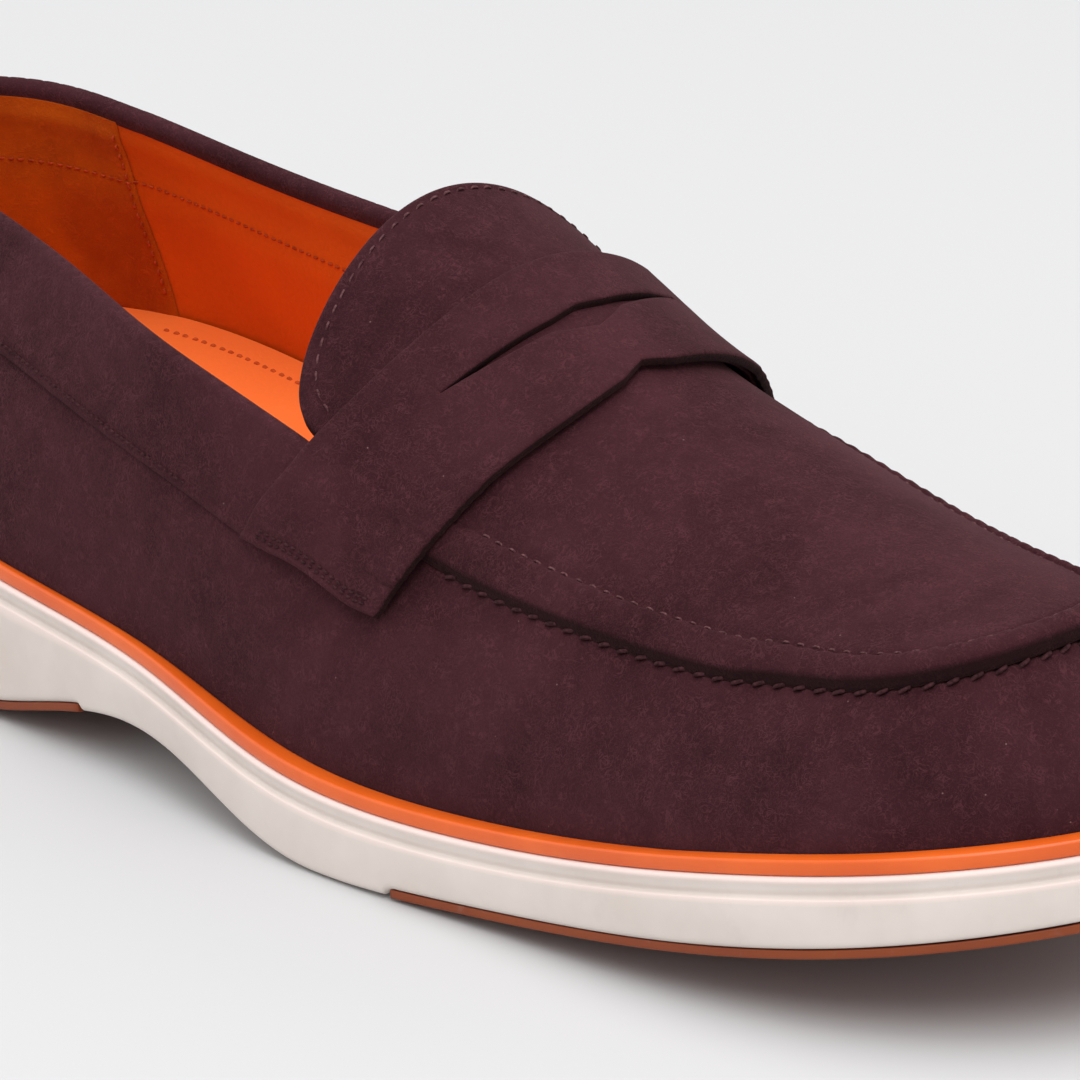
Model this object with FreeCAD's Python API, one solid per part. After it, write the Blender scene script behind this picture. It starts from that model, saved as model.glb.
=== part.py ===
import FreeCAD, Part
import math
import os

# Penny loafer for the right foot, in millimetres. The shoe stands on z = 0 with its toe towards +X.
# The outer (lateral) side of the foot is -Y and the inner (medial) side is +Y.
# Shapes are worked out with x = 0 at the back of the heel; each finished piece is moved so that
# the middle of the sole's box is the origin.

os.makedirs("parts", exist_ok=True)
Vector = FreeCAD.Vector

# ---- overall sizes ----
sole_length = 302.0           # heel to toe, over the midsole
ball_width = 94.0             # across the midsole at the ball of the foot
heel_seat_height = 29.5       # ground to the top of the welt at the heel
waist_seat_height = 21.8      # the same in the waist, under the arch of the foot
ball_seat_height = 16.6       # the same at the ball
toe_seat_height = 32.5        # the same at the toe
arch_height = 9.0             # how far the sole clears the ground in the waist
arch_start = 0.23             # the arch's ends, as shares of the length
arch_end = 0.565
toe_spring = 18.5             # how far the tip of the sole clears the ground
collar_height = 78.0          # ground to the top of the collar at the back
instep_height = 92.0          # ground to the ridge of the instep, where the strap's rear edge crosses

# ---- sole unit ----
outsole_thickness = 1.5       # rubber pads under the midsole
pad_setback = 0.5             # pads stay this far inside the midsole's edge
heel_pad_end = 106.0          # from the back of the heel
forefoot_pad_start = 186.0    # from the back of the heel
welt_height = 2.5
welt_setback = 0.9            # welt edge inside the midsole's edge
feather_margin = 4.4          # midsole edge to the foot of the upper, in the forepart
heel_margin = 2.6             # the same at the heel
filler_depth = 2.2            # recess in the midsole's top for the filler
filler_margin = 24.0          # midsole edge to the recess
shank_length = 95.0
shank_width = 14.0
shank_thickness = 1.2
shank_start = 68.0            # from the back of the heel
board_thickness = 2.6
footbed_thickness = 8.0       # foam, at its middle
footbed_front_thickness = 4.0 # foam under the ball
footbed_cup = 4.5             # how far the foam rises at its sides
sock_thickness = 1.2
footbed_end = 240.0           # from the back of the heel

# ---- upper ----
suede_thickness = 1.4
lining_thickness = 0.9
stiffener_thickness = 1.2     # heel counter and toe puff
heel_grip_thickness = 0.7
heel_grip_end = 36.0          # from the back of the heel, on both sides
apron_thickness = 2.6
apron_overhang = 1.0          # apron edge past the top of the wall under it
apron_lining_thickness = 0.9
collar_band_width = 17.0
collar_band_thickness = 0.9
binding_thickness = 0.7
binding_leg = 1.8             # how far the rolled binding reaches down each side
strap_thickness = 1.6
strap_backing_thickness = 0.5
strap_lift = 1.1              # backing above the smoothed section that it bridges
strap_settle = 0.9            # how much closer the strap's ends lie
layer_gap = 0.1               # glue line between layers
fit_gap = 0.3                 # clearance between curved pieces

# ---- thread ----
thread_radius = 0.38
stitch_length = 2.6
stitch_pitch = 3.7
whip_pitch = 4.4

# Plan of the sole edge: share of the length, then the edge's distance from the middle line on the
# outer side and on the inner side, as shares of the ball width.
edge_stations = (
    (0.04, 0.268, 0.240), (0.15, 0.412, 0.392), (0.28, 0.495, 0.394), (0.40, 0.516, 0.378),
    (0.53, 0.569, 0.412), (0.66, 0.545, 0.471), (0.795, 0.515, 0.489), (0.91, 0.411, 0.404),
)
heel_tip_y = -4.0             # the back of the heel and the tip of the toe lie off the middle line
toe_tip_y = 3.5
spine_start = 42.0            # ribs of the upper fan out round the ends of this middle line
spine_end_from_toe = 62.0

# How far the top of the wall lies inside its foot: share of the length, outer side, inner side.
lean_stations = (
    (0.04, 7.5, 8.0), (0.15, 12.0, 12.5), (0.28, 12.5, 9.3), (0.40, 6.5, 1.5), (0.53, 12.0, 3.0),
    (0.66, 11.2, 11.0), (0.795, 14.0, 17.5), (0.91, 14.6, 20.5), (0.97, 15.0, 20.0),
)
lean_heel = 6.5
lean_toe = 18.5

# Drop of the topline below the collar height: share of the length, drop.
topline_drops = ((0.0, 0.0), (0.08, 1.3), (0.20, 4.5), (0.315, 7.7), (0.43, 13.0), (0.50, 18.7))
throat_start = 0.49           # the top of the wall changes from the topline to the apron's seam
throat_end = 0.56

# Ridge of the forepart and how far its sides fall: share of the length, ridge height above the
# instep height, fall at half the ball width from the ridge.
ridge_stations = ((0.36, 12.0, 46.0), (0.45, 0.0, 46.0), (0.56, -14.5, 43.0), (0.68, -25.5, 34.0),
                  (0.79, -33.0, 29.0), (0.90, -36.0, 21.0))
ridge_y_back = -2.0
ridge_y_front = 2.0
inner_fullness = 0.16         # how much less the tongue falls away on its inner side
seam_drop = 1.0               # top of the wall below the underside of the apron

tongue_tip = 140.8            # from the back of the heel
tongue_half_width = 33.8
tongue_round = 11.0           # length of the tongue's rounded corners

# Edges of the strap across the section: how far round the section from the ridge (0) towards the foot
# of the wall (1), then the distance from the back of the heel.
strap_rear = ((0.0, 161.5), (0.25, 159.5), (0.50, 152.0), (0.82, 143.0))
strap_front = ((0.0, 189.5), (0.20, 189.0), (0.36, 184.5), (0.50, 179.5), (0.82, 171.5))
strap_end_rear = 0.77         # how far round the section the strap's ends reach, at the rear edge
strap_end_front = 0.72        # the same at the front edge
notch_depth = 1.6             # small notch in the middle of the front edge
notch_reach = 0.07
slot_reach = 0.31             # the slot's tips, round the section from the ridge
slot_tip = 168.0              # slot tips, from the back of the heel
slot_rear_bow = 5.0           # how far the slot's rear lip bows forwards of its tips
slot_front_bow = 11.0         # how far its front lip reaches forwards at the middle


# ---------- curves ----------

def spline(points):
    """Natural cubic curve through (position, value) pairs."""
    xs = [p[0] for p in points]
    ys = [p[1] for p in points]
    n = len(xs)
    gap = [xs[i + 1] - xs[i] for i in range(n - 1)]
    rise = [(ys[i + 1] - ys[i]) / gap[i] for i in range(n - 1)]
    diag = [1.0] * n
    bend = [0.0] * n
    for i in range(1, n - 1):
        diag[i] = 2 * (gap[i - 1] + gap[i])
        bend[i] = 6 * (rise[i] - rise[i - 1])
        if i > 1:
            share = gap[i - 1] / diag[i - 1]
            diag[i] -= share * gap[i - 1]
            bend[i] -= share * bend[i - 1]
    for i in range(n - 2, 0, -1):
        tail = bend[i + 1] * gap[i] if i < n - 2 else 0.0
        bend[i] = (bend[i] - tail) / diag[i]

    def value(x):
        i = 0
        while i < n - 2 and x > xs[i + 1]:
            i += 1
        h = gap[i]
        a = (xs[i + 1] - x) / h
        b = (x - xs[i]) / h
        cubic = (a ** 3 - a) * bend[i] + (b ** 3 - b) * bend[i + 1]
        return a * ys[i] + b * ys[i + 1] + cubic * h * h / 6

    return value


def around(points):
    """Closed curve through (angle, value) pairs, one turn repeated on both sides."""
    turn = 2 * math.pi
    wrapped = [(a + k * turn, v) for k in (-1, 0, 1) for a, v in points]
    curve = spline(wrapped)
    return lambda angle: curve(angle % turn)


def blend(x, start, end):
    """0 before start, 1 after end, smooth between."""
    t = min(max((x - start) / (end - start), 0.0), 1.0)
    return t * t * (3 - 2 * t)


def angle_at(x):
    """Angle round the sole where the outer edge passes x."""
    return math.acos(1 - 2 * x / sole_length)


def ring_points(heel, toe, stations, scale):
    """(angle, value) pairs round the shoe: heel, outer side, toe, inner side."""
    outer = [(angle_at(s * sole_length), o * scale) for s, o, _ in stations]
    inner = [(2 * math.pi - angle_at(s * sole_length), i * scale) for s, _, i in reversed(stations)]
    return [(0.0, heel)] + outer + [(math.pi, toe)] + inner


edge_points = ring_points(heel_tip_y, toe_tip_y, edge_stations, ball_width)
edge_curve = around([(a, -v if 0 < a < math.pi else v) for a, v in edge_points])
lean_curve = around(ring_points(lean_heel, lean_toe, lean_stations, 1.0))
seat_curve = spline([(0.0, heel_seat_height), (0.20 * sole_length, heel_seat_height - 2.0),
                     (0.315 * sole_length, (heel_seat_height + waist_seat_height) / 2 - 0.4),
                     (0.415 * sole_length, waist_seat_height),
                     (0.53 * sole_length, ball_seat_height - 0.2), (0.695 * sole_length, ball_seat_height + 0.4),
                     (0.845 * sole_length, (ball_seat_height + toe_seat_height) / 2),
                     (sole_length, toe_seat_height)])
topline_curve = spline([(s * sole_length, collar_height - d) for s, d in topline_drops])
ridge_curve = spline([(s * sole_length, instep_height + h) for s, h, _ in ridge_stations])
fall_curve = spline([(s * sole_length, f) for s, _, f in ridge_stations])
strap_rear_curve = spline(strap_rear)
strap_front_curve = spline(strap_front)


def seat(x):
    """Height of the welt's top."""
    return seat_curve(min(max(x, 0.0), sole_length))


def ground(x):
    """Height of the underside: an arch in the waist and an upward sweep at the toe."""
    start, end = arch_start * sole_length, arch_end * sole_length
    t = min(max((x - start) / (end - start), 0.0), 1.0)
    sweep = max((x / sole_length - 0.58) / 0.42, 0.0)
    return arch_height * math.sin(math.pi * t) ** 2 + toe_spring * sweep ** 1.5


def rib(angle):
    """Foot of a rib on the sole edge and its outward direction in plan."""
    x = sole_length / 2 * (1 - math.cos(angle))
    y = edge_curve(angle)
    centre = min(max(x, spine_start), sole_length - spine_end_from_toe)
    out = Vector(x - centre, y, 0)
    out.normalize()
    return Vector(x, y, 0), out


def margin(x):
    """Width of the sole's edge left outside the upper."""
    return heel_margin + (feather_margin - heel_margin) * blend(x, 0.34 * sole_length, 0.54 * sole_length)


def plan_point(angle, inset):
    """Point of the sole edge, moved inwards along its rib."""
    foot, out = rib(angle)
    return foot - out * inset


def crown(x, y):
    """Height of the apron's underside."""
    end = 0.92 * sole_length
    ridge_y = ridge_y_back + (ridge_y_front - ridge_y_back) * (x / sole_length - 0.36) / 0.54
    side = (y - ridge_y) / (ball_width / 2)
    full = inner_fullness * (1 - blend(x, 0.50 * sole_length, 0.63 * sole_length)) if side > 0 else 0.0
    return ridge_curve(min(x, end)) - fall_curve(min(x, end)) * (1 - full) * side * side


def wall_top(angle):
    """Top edge of the wall: the topline at the back, the apron's seam at the front."""
    p = plan_point(angle, margin(rib(angle)[0].x) + lean_curve(angle))
    front = blend(p.x, throat_start * sole_length, throat_end * sole_length)
    back_z = topline_curve(min(p.x, 0.50 * sole_length))
    front_z = crown(p.x, p.y) - seam_drop if p.x > 0.36 * sole_length else back_z
    p.z = back_z + (front_z - back_z) * front
    return p


def wall_base(angle, v):
    """Outer face of the wall without any offset: a cubic from its foot (v = 0) to its top (v = 1)."""
    foot, out = rib(angle)
    p0 = foot - out * margin(foot.x)
    p0.z = seat(p0.x) - welt_height
    p3 = wall_top(angle)
    rise = Vector(0, 0, p3.z - p0.z)
    lean = out * lean_curve(angle)
    p1 = p0 + rise * 0.42 + out * 0.5
    p2 = p3 + lean * 0.40 - rise * 0.26 + out * 0.8
    w = 1 - v
    return p0 * w ** 3 + p1 * (3 * w * w * v) + p2 * (3 * w * v * v) + p3 * v ** 3


def wall(angle, v, offset=0.0):
    """Point on the wall, moved outwards by offset along the face's normal."""
    p = wall_base(angle, v)
    step = 0.002
    along = wall_base(angle + step, v) - wall_base(angle - step, v)
    up = wall_base(angle, v + step) - wall_base(angle, v - step)
    normal = along.cross(up)
    normal.normalize()
    if normal.dot(rib(angle)[1]) < 0:
        normal = normal * -1
    return p + normal * offset


def lining_depth(v):
    """Depth of the lining's outer face: behind the stiffener below, behind the suede at the top."""
    deep = stiffener_thickness + layer_gap
    return suede_thickness + layer_gap + deep * (1 - blend(v, 0.62, 0.86))


def v_at_width(angle, width):
    """Value of v at a distance down the wall from its top."""
    v = 1.0
    last = wall_base(angle, v)
    length = 0.0
    while length < width and v > 0.02:
        v -= 0.02
        point = wall_base(angle, v)
        length += (point - last).Length
        last = point
    return v


def section(x, u):
    """Outline of the finished upper in a plane across the shoe: u = -1 low on the outer side,
    0 about the ridge, 1 low on the inner side."""
    outer = angle_at(x)
    inner = 2 * math.pi - outer
    if u < -0.5:
        return wall(outer, 1 - (-u - 0.5) * 1.5, 0.4)
    if u > 0.5:
        return wall(inner, 1 - (u - 0.5) * 1.5, 0.4)
    a, b = wall_top(outer), wall_top(inner)
    y = (a.y + b.y) / 2 + (b.y - a.y + 2 * apron_overhang) * u
    return Vector(x, y, crown(x, y) + layer_gap + apron_thickness)


def hull(x, u, offset):
    """The section with its corners smoothed by a moving average, moved outwards by offset."""

    def smooth(ux, uu):
        total = Vector(0, 0, 0)
        for k in range(-4, 5):
            total += section(ux, min(max(uu + 0.028 * k, -1.1), 1.1))
        return total * (1 / 9)

    p = smooth(x, u)
    across = smooth(x, u + 0.01) - smooth(x, u - 0.01)
    along = smooth(x + 0.5, u) - smooth(x - 0.5, u)
    normal = along.cross(across)
    normal.normalize()
    return p + normal * offset
# ---------- end of shape formulas ----------


# ---------- builders ----------

turn = 2 * math.pi
centre_shift = Vector(0, 0, 0)
pieces = {}


def keep(name, shape):
    """Check a finished piece, move it to the model's origin and file it under its name."""
    solids = shape.Solids
    assert solids, name + " has no solid"
    moved = Part.makeCompound(solids) if len(solids) > 1 else solids[0]
    moved = moved.copy()
    moved.translate(centre_shift)
    bad = [i for i, solid in enumerate(solids) if not solid.isValid() or solid.Volume <= 0]
    pieces[name] = moved
    size = moved.BoundBox
    print(f"{name:17s} solids {len(solids):3d}  {moved.Volume / 1000:8.3f} cm3  x {size.XMin:7.1f} {size.XMax:6.1f}"
          f"  y {size.YMin:6.1f} {size.YMax:6.1f}  z {size.ZMin:5.1f} {size.ZMax:5.1f}", "BAD" if bad else "")


def patch(points):
    """Smooth surface through a grid of points."""
    surface = Part.BSplineSurface()
    surface.interpolate(points)
    return surface


def sheet(outer, inner):
    """Closed solid between two grids of points that face each other."""
    a, b = patch(outer), patch(inner)
    faces = [a.toShape(), b.toShape()]
    ua, ub = a.bounds(), b.bounds()
    for k in (0, 1):
        faces.append(Part.makeRuledSurface(a.uIso(ua[k]).toShape(), b.uIso(ub[k]).toShape()))
        faces.append(Part.makeRuledSurface(a.vIso(ua[2 + k]).toShape(), b.vIso(ub[2 + k]).toShape()))
    shell = Part.makeShell(faces)
    shell.sewShape()
    solid = Part.makeSolid(shell)
    if solid.Volume < 0:
        solid.reverse()
    return solid


def spread(start, end, count):
    """Evenly spaced values from start to end."""
    return [start + (end - start) * i / (count - 1) for i in range(count)]


def wall_sheet(angles, rows, outer, inner):
    """Layer of the wall between two offsets; rows(angle) gives its values of v, and the offsets
    are functions of v."""
    grids = []
    for offset in (outer, inner):
        grids.append([[wall(a, v, offset(v)) for v in rows(a)] for a in angles])
    return sheet(grids[0], grids[1])


def closed_wire(points):
    """Smooth closed curve through points in a plane."""
    curve = Part.BSplineCurve()
    curve.interpolate(points, PeriodicFlag=True)
    return Part.Wire(curve.toShape())


def plan_prism(points, low, high):
    """Upright solid over a closed plan outline."""
    flat = [Vector(p.x, p.y, low) for p in points]
    return Part.Face(closed_wire(flat)).extrude(Vector(0, 0, high - low))


def sole_plan(inset, count=72):
    """Plan outline of the sole; inset is a number or a function of the distance from the heel."""
    outline = []
    for i in range(count):
        angle = turn * i / count
        amount = inset(rib(angle)[0].x) if callable(inset) else inset
        outline.append(plan_point(angle, amount))
    return outline


def level_slab(low, high, start=-10.0, end=None, count=40, flat_to=None):
    """Solid right across the shoe between two height profiles, from start to end along it.
    Up to flat_to the lower side is a true plane."""
    end = sole_length + 10 if end is None else end
    xs = spread(start, end, count)
    edges = []
    for profile, level in ((low, flat_to), (high, None)):
        along = xs
        if level is not None:
            edges.append(Part.makeLine(Vector(start, -ball_width, profile(start)),
                                       Vector(level, -ball_width, profile(start))))
            along = spread(level, end, count)
        curve = Part.BSplineCurve()
        curve.interpolate([Vector(x, -ball_width, profile(x)) for x in along])
        edges.append(curve.toShape())
    sides = [Part.makeLine(Vector(x, -ball_width, low(x)), Vector(x, -ball_width, high(x)))
             for x in (xs[0], xs[-1])]
    face = Part.Face(Part.Wire(Part.__sortEdges__(edges + sides)))
    return face.extrude(Vector(0, 2 * ball_width, 0))


def crown_sheet(low, high, start, end, half_width, rows=30, columns=17):
    """Thick sheet that follows the crown of the forepart between two height offsets."""
    grids = []
    for lift in (high, low):
        grids.append([[Vector(x, y, crown(x, y) + lift) for y in spread(-half_width, half_width, columns)]
                      for x in spread(start, end, rows)])
    return sheet(grids[0], grids[1])


def stitches(path, pitch, length, radius, count=400):
    """Row of straight threads laid along path(t), t from 0 to 1, one every pitch."""
    points = [path(i / (count - 1)) for i in range(count)]
    run = [0.0]
    for a, b in zip(points, points[1:]):
        run.append(run[-1] + (b - a).Length)
    number = int(run[-1] / pitch)
    margin_left = (run[-1] - number * pitch + pitch - length) / 2
    threads = []
    j = 0
    for k in range(number):
        ends = []
        for distance in (margin_left + k * pitch, margin_left + k * pitch + length):
            while j < count - 2 and run[j + 1] < distance:
                j += 1
            share = (distance - run[j]) / (run[j + 1] - run[j])
            ends.append(points[j] + (points[j + 1] - points[j]) * share)
        threads.append(thread(ends[0], ends[1], radius))
    return threads


def thread(start, end, radius):
    """One visible stitch as a round thread."""
    return Part.makeCylinder(radius, (end - start).Length, start, end - start)


def cross_stitches(low_path, high_path, pitch, radius, count=400):
    """Row of threads that each cross a seam from low_path(t) to high_path(t)."""
    points = [low_path(i / (count - 1)) for i in range(count)]
    run = [0.0]
    for a, b in zip(points, points[1:]):
        run.append(run[-1] + (b - a).Length)
    number = int(run[-1] / pitch)
    threads = []
    for k in range(number):
        distance = (k + 0.5) * run[-1] / number
        i = next(n for n, r in enumerate(run) if r >= distance)
        threads.append(thread(points[i], high_path(min(i / (count - 1) + 0.3 / number, 1.0)), radius))
    return threads


def wall_seat(x):
    """Height of the midsole's top, where the upper stands."""
    return seat(x) - welt_height


def bound_box(points):
    xs, ys = [p.x for p in points], [p.y for p in points]
    return min(xs), max(xs), min(ys), max(ys)


box = bound_box(sole_plan(0.0, 720))
centre_shift = Vector(-(box[0] + box[1]) / 2, -(box[2] + box[3]) / 2, 0)


# ---------- sole unit ----------

def pad_plan():
    return plan_prism(sole_plan(pad_setback), -5, 60)


def make_sole():
    """Midsole with the two rubber pads let into its underside, and the welt strip on top."""
    body = plan_prism(sole_plan(0.0), -5, 60)
    midsole = body.common(level_slab(lambda x: ground(x) + fit_gap, wall_seat))
    pads = {"outsole_heel": (-10.0, heel_pad_end), "outsole_forefoot": (forefoot_pad_start, sole_length + 10)}
    for name, (start, end) in pads.items():
        level = arch_start * sole_length if start < 0 else None
        pad = pad_plan().common(level_slab(ground, lambda x: ground(x) + outsole_thickness, start, end,
                                           flat_to=level))
        keep(name, pad)
        bed = level_slab(lambda x: ground(x) - 3, lambda x: ground(x) + outsole_thickness,
                         start - layer_gap, end + layer_gap)
        midsole = midsole.cut(bed)
    recess = plan_prism(sole_plan(filler_margin), -5, 60)
    floor = level_slab(lambda x: wall_seat(x) - filler_depth, lambda x: wall_seat(x) + 5)
    midsole = midsole.cut(recess.common(floor))
    keep("midsole", midsole)

    welt = plan_prism(sole_plan(welt_setback), -5, 60)
    welt = welt.cut(plan_prism(sole_plan(lambda x: margin(x) - fit_gap), -10, 70))
    keep("welt", welt.common(level_slab(wall_seat, seat)))


def footbed_rise(x, y):
    """Thickness of the foam: cupped at its sides, thinner towards the ball."""
    front = blend(x, 0.36 * sole_length, 0.66 * sole_length)
    side = y / (ball_width / 2)
    middle = footbed_thickness + (footbed_front_thickness - footbed_thickness) * front
    return middle + footbed_cup * (1 - front) * min(side * side * 1.6, 1.2)


def footbed_inset(x):
    """Sole edge to the footbed's edge: it follows the lining, which leans in towards the toe."""
    inside = suede_thickness + stiffener_thickness + lining_thickness + 3 * layer_gap
    return margin(x) + inside + 1.5 + 5.0 * blend(x, 0.42 * sole_length, 0.78 * sole_length)


def make_bottom():
    """What lies between the midsole and the foot: filler, shank, board, foam and sock."""
    filler = plan_prism(sole_plan(filler_margin + fit_gap), -5, 60)
    filler = filler.common(level_slab(lambda x: wall_seat(x) - filler_depth, wall_seat))
    shank_plan = Part.makeBox(shank_length, shank_width, 80, Vector(shank_start, -shank_width / 2 - 2, -5))
    shank_round = shank_plan.makeFillet(shank_width * 0.45, [e for e in shank_plan.Edges
                                                              if abs(e.Length - 80) < 0.01])
    shank = shank_round.common(level_slab(lambda x: wall_seat(x) - shank_thickness, wall_seat))
    keep("shank", shank)
    pocket = shank_round.common(level_slab(lambda x: wall_seat(x) - shank_thickness,
                                           lambda x: wall_seat(x) + 5))
    keep("bottom_filler", filler.cut(pocket))

    inside = suede_thickness + stiffener_thickness + lining_thickness + 3 * layer_gap
    board = plan_prism(sole_plan(lambda x: margin(x) + inside + 2 * fit_gap), -5, 60)
    keep("insole_board", board.common(level_slab(wall_seat, lambda x: wall_seat(x) + board_thickness)))

    def bed(low, high):
        grids = []
        for height in (high, low):
            grids.append([[Vector(x, y, wall_seat(x) + board_thickness + height(x, y))
                           for y in spread(-ball_width * 0.7, ball_width * 0.7, 15)]
                          for x in spread(-8.0, sole_length, 30)])
        return sheet(grids[0], grids[1])

    foam_plan = plan_prism(sole_plan(footbed_inset), -5, 90)
    toe_cut = Part.makeBox(200, 4 * ball_width, 200, Vector(footbed_end, -2 * ball_width, -50))
    foam = bed(lambda x, y: layer_gap, footbed_rise)
    keep("footbed_foam", foam.common(foam_plan).cut(toe_cut))
    sock = bed(lambda x, y: footbed_rise(x, y) + layer_gap,
               lambda x, y: footbed_rise(x, y) + layer_gap + sock_thickness)
    keep("sock_liner", sock.common(foam_plan).cut(toe_cut))


# ---------- upper ----------

def full_turn(start_x, end_x, count):
    """Angles round the heel from the outer side at start_x to the inner side at end_x."""
    return spread(-(angle_at(end_x)), angle_at(start_x), count)


def round_toe(x, count):
    """Angles round the toe from the outer side to the inner side at x."""
    return spread(angle_at(x), turn - angle_at(x), count)


def make_upper():
    """Suede wall in one piece, closed by a seam at the back of the heel, and its stiffeners."""
    back_seam = 0.004
    whole = lambda a: spread(0.0, 1.0, 11)
    keep("vamp_wall", wall_sheet(spread(back_seam, turn - back_seam, 121), whole,
                                 lambda v: 0.0, lambda v: -suede_thickness))
    behind = suede_thickness + layer_gap
    stiff = (lambda v: -behind, lambda v: -behind - stiffener_thickness)
    keep("heel_counter", wall_sheet(full_turn(72.0, 80.0, 41), lambda a: spread(0.02, 0.60, 9), *stiff))
    keep("toe_puff", wall_sheet(round_toe(0.80 * sole_length, 41), lambda a: spread(0.02, 0.60, 9), *stiff))


def make_lining():
    """Leather lining of the quarters, lining of the vamp and the grip at the heel."""
    face = (lambda v: -lining_depth(v), lambda v: -lining_depth(v) - lining_thickness)
    join = 0.60 * sole_length
    keep("quarter_lining", wall_sheet(full_turn(join, join, 57), lambda a: spread(0.0, 1.0, 11), *face))
    keep("vamp_lining", wall_sheet(round_toe(join + 0.5, 45), lambda a: spread(0.0, 0.9, 9), *face))
    back = lambda v: lining_depth(v) + lining_thickness + layer_gap
    grip = (lambda v: -back(v), lambda v: -back(v) - heel_grip_thickness)
    keep("heel_grip", wall_sheet(full_turn(heel_grip_end, heel_grip_end, 25),
                                 lambda a: spread(0.30, 0.90, 8), *grip))


def collar_angles(count):
    return full_turn(0.485 * sole_length, 0.485 * sole_length, count)


def make_collar():
    """Band sewn round the topline and the rolled binding over its raw edge."""
    band = lambda a: spread(v_at_width(a, collar_band_width), 0.985, 7)
    keep("collar_band", wall_sheet(collar_angles(57), band, lambda v: layer_gap + collar_band_thickness,
                                   lambda v: layer_gap))
    outside = collar_band_thickness + layer_gap
    inside = suede_thickness + layer_gap + lining_thickness
    middle = (outside - inside) / 2
    inner_radius = (outside + inside) / 2 + layer_gap
    grids = []
    for radius in (inner_radius + binding_thickness, inner_radius):
        grid = []
        for a in collar_angles(73):
            top = wall(a, 1.0, middle)
            out = wall(a, 1.0, middle + 1.0) - top
            up = wall(a, 1.0, middle) - wall(a, 0.97, middle)
            up = up - out * up.dot(out)
            up.normalize()
            rows = [top + out * radius - up * binding_leg, top + out * radius - up * binding_leg * 0.5]
            rows += [top + out * radius * math.cos(t) + up * radius * math.sin(t)
                     for t in spread(0.0, math.pi, 9)]
            rows += [top - out * radius - up * binding_leg * 0.5, top - out * radius - up * binding_leg]
            grid.append(rows)
        grids.append(grid)
    keep("topline_binding", sheet(grids[0], grids[1]))


def apron_plan(shrink):
    """Plan outline of the apron with its tongue: round the toe along the seam, back under the strap
    and across the tongue's end, whose corners are rounded."""
    outline = []
    join = 0.56 * sole_length
    for a in spread(angle_at(join), turn - angle_at(join), 41):
        top = wall_top(a)
        outline.append(top + rib(a)[1] * (apron_overhang - shrink))
    reach = tongue_half_width - shrink
    for t in spread(math.pi / 2, -math.pi / 2, 17):
        side = math.copysign(abs(math.sin(t)) ** 0.5, math.sin(t))
        back = tongue_tip + shrink + tongue_round * (1 - abs(math.cos(t)) ** 0.5)
        outline.append(Vector(back, ridge_y_back + reach * side, 0))
    return outline


def make_apron():
    """Raised apron of the moccasin toe, one piece with the tongue, and the lining under it."""
    start, end, half = tongue_tip - 12, 0.955 * sole_length, ball_width * 0.5
    skin = crown_sheet(layer_gap, layer_gap + apron_thickness, start, end, half)
    keep("apron", skin.common(plan_prism(apron_plan(0.0), 0, 200)))
    lining = crown_sheet(-apron_lining_thickness, 0.0, start, end, half)
    keep("apron_lining", lining.common(plan_prism(apron_plan(3.4), 0, 200)))


def strap_point(share, side, offset):
    """Point of the strap: share 0 at the rear edge to 1 at the front edge, side -1 to 1."""
    centred = abs(side)
    end_u = strap_end_rear + (strap_end_front - strap_end_rear) * share
    reach = centred * end_u
    notch = notch_depth * max(1 - reach / notch_reach, 0.0)
    rear = strap_rear_curve(reach)
    front = strap_front_curve(reach) - notch
    settled = offset - strap_settle * blend(centred, 0.84, 1.0)
    return hull(rear + (front - rear) * share, math.copysign(reach, side), settled)


def slot_plan():
    """Plan outline of the slot: a bowed rear lip and a pointed front lip."""
    tips = [hull(slot_tip, s * slot_reach, 0) for s in (-1, 1)]
    rear_mid = hull(slot_tip + slot_rear_bow, 0, 0)
    front_mid = hull(slot_tip + slot_front_bow, 0, 0)
    edges = [Part.Arc(*[Vector(p.x, p.y, 0) for p in (tips[0], rear_mid, tips[1])]).toShape()]
    for tip in tips:
        mid = Vector((tip.x * 0.55 + front_mid.x * 0.45) + 1.0, (tip.y + front_mid.y) / 2, 0)
        edges.append(Part.Arc(Vector(tip.x, tip.y, 0), mid, Vector(front_mid.x, front_mid.y, 0)).toShape())
    return Part.Wire(Part.__sortEdges__(edges))


def make_strap():
    """Saddle strap across the instep with its slot, and the thin backing that lines it."""
    sides = spread(-1.0, 1.0, 41)
    backing_top = strap_lift + strap_backing_thickness

    def layer(low, high, trim):
        grids = []
        for offset in (high, low):
            grids.append([[strap_point(trim + (1 - 2 * trim) * s, side * (1 - trim), offset)
                           for s in spread(0.0, 1.0, 7)] for side in sides])
        return sheet(grids[0], grids[1])

    keep("strap_backing", layer(strap_lift, backing_top, 0.05))
    strap = layer(backing_top + layer_gap, backing_top + layer_gap + strap_thickness, 0.0)
    slot = Part.Face(slot_plan()).extrude(Vector(0, 0, 200))
    keep("penny_strap", strap.cut(slot))


# ---------- thread ----------

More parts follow.
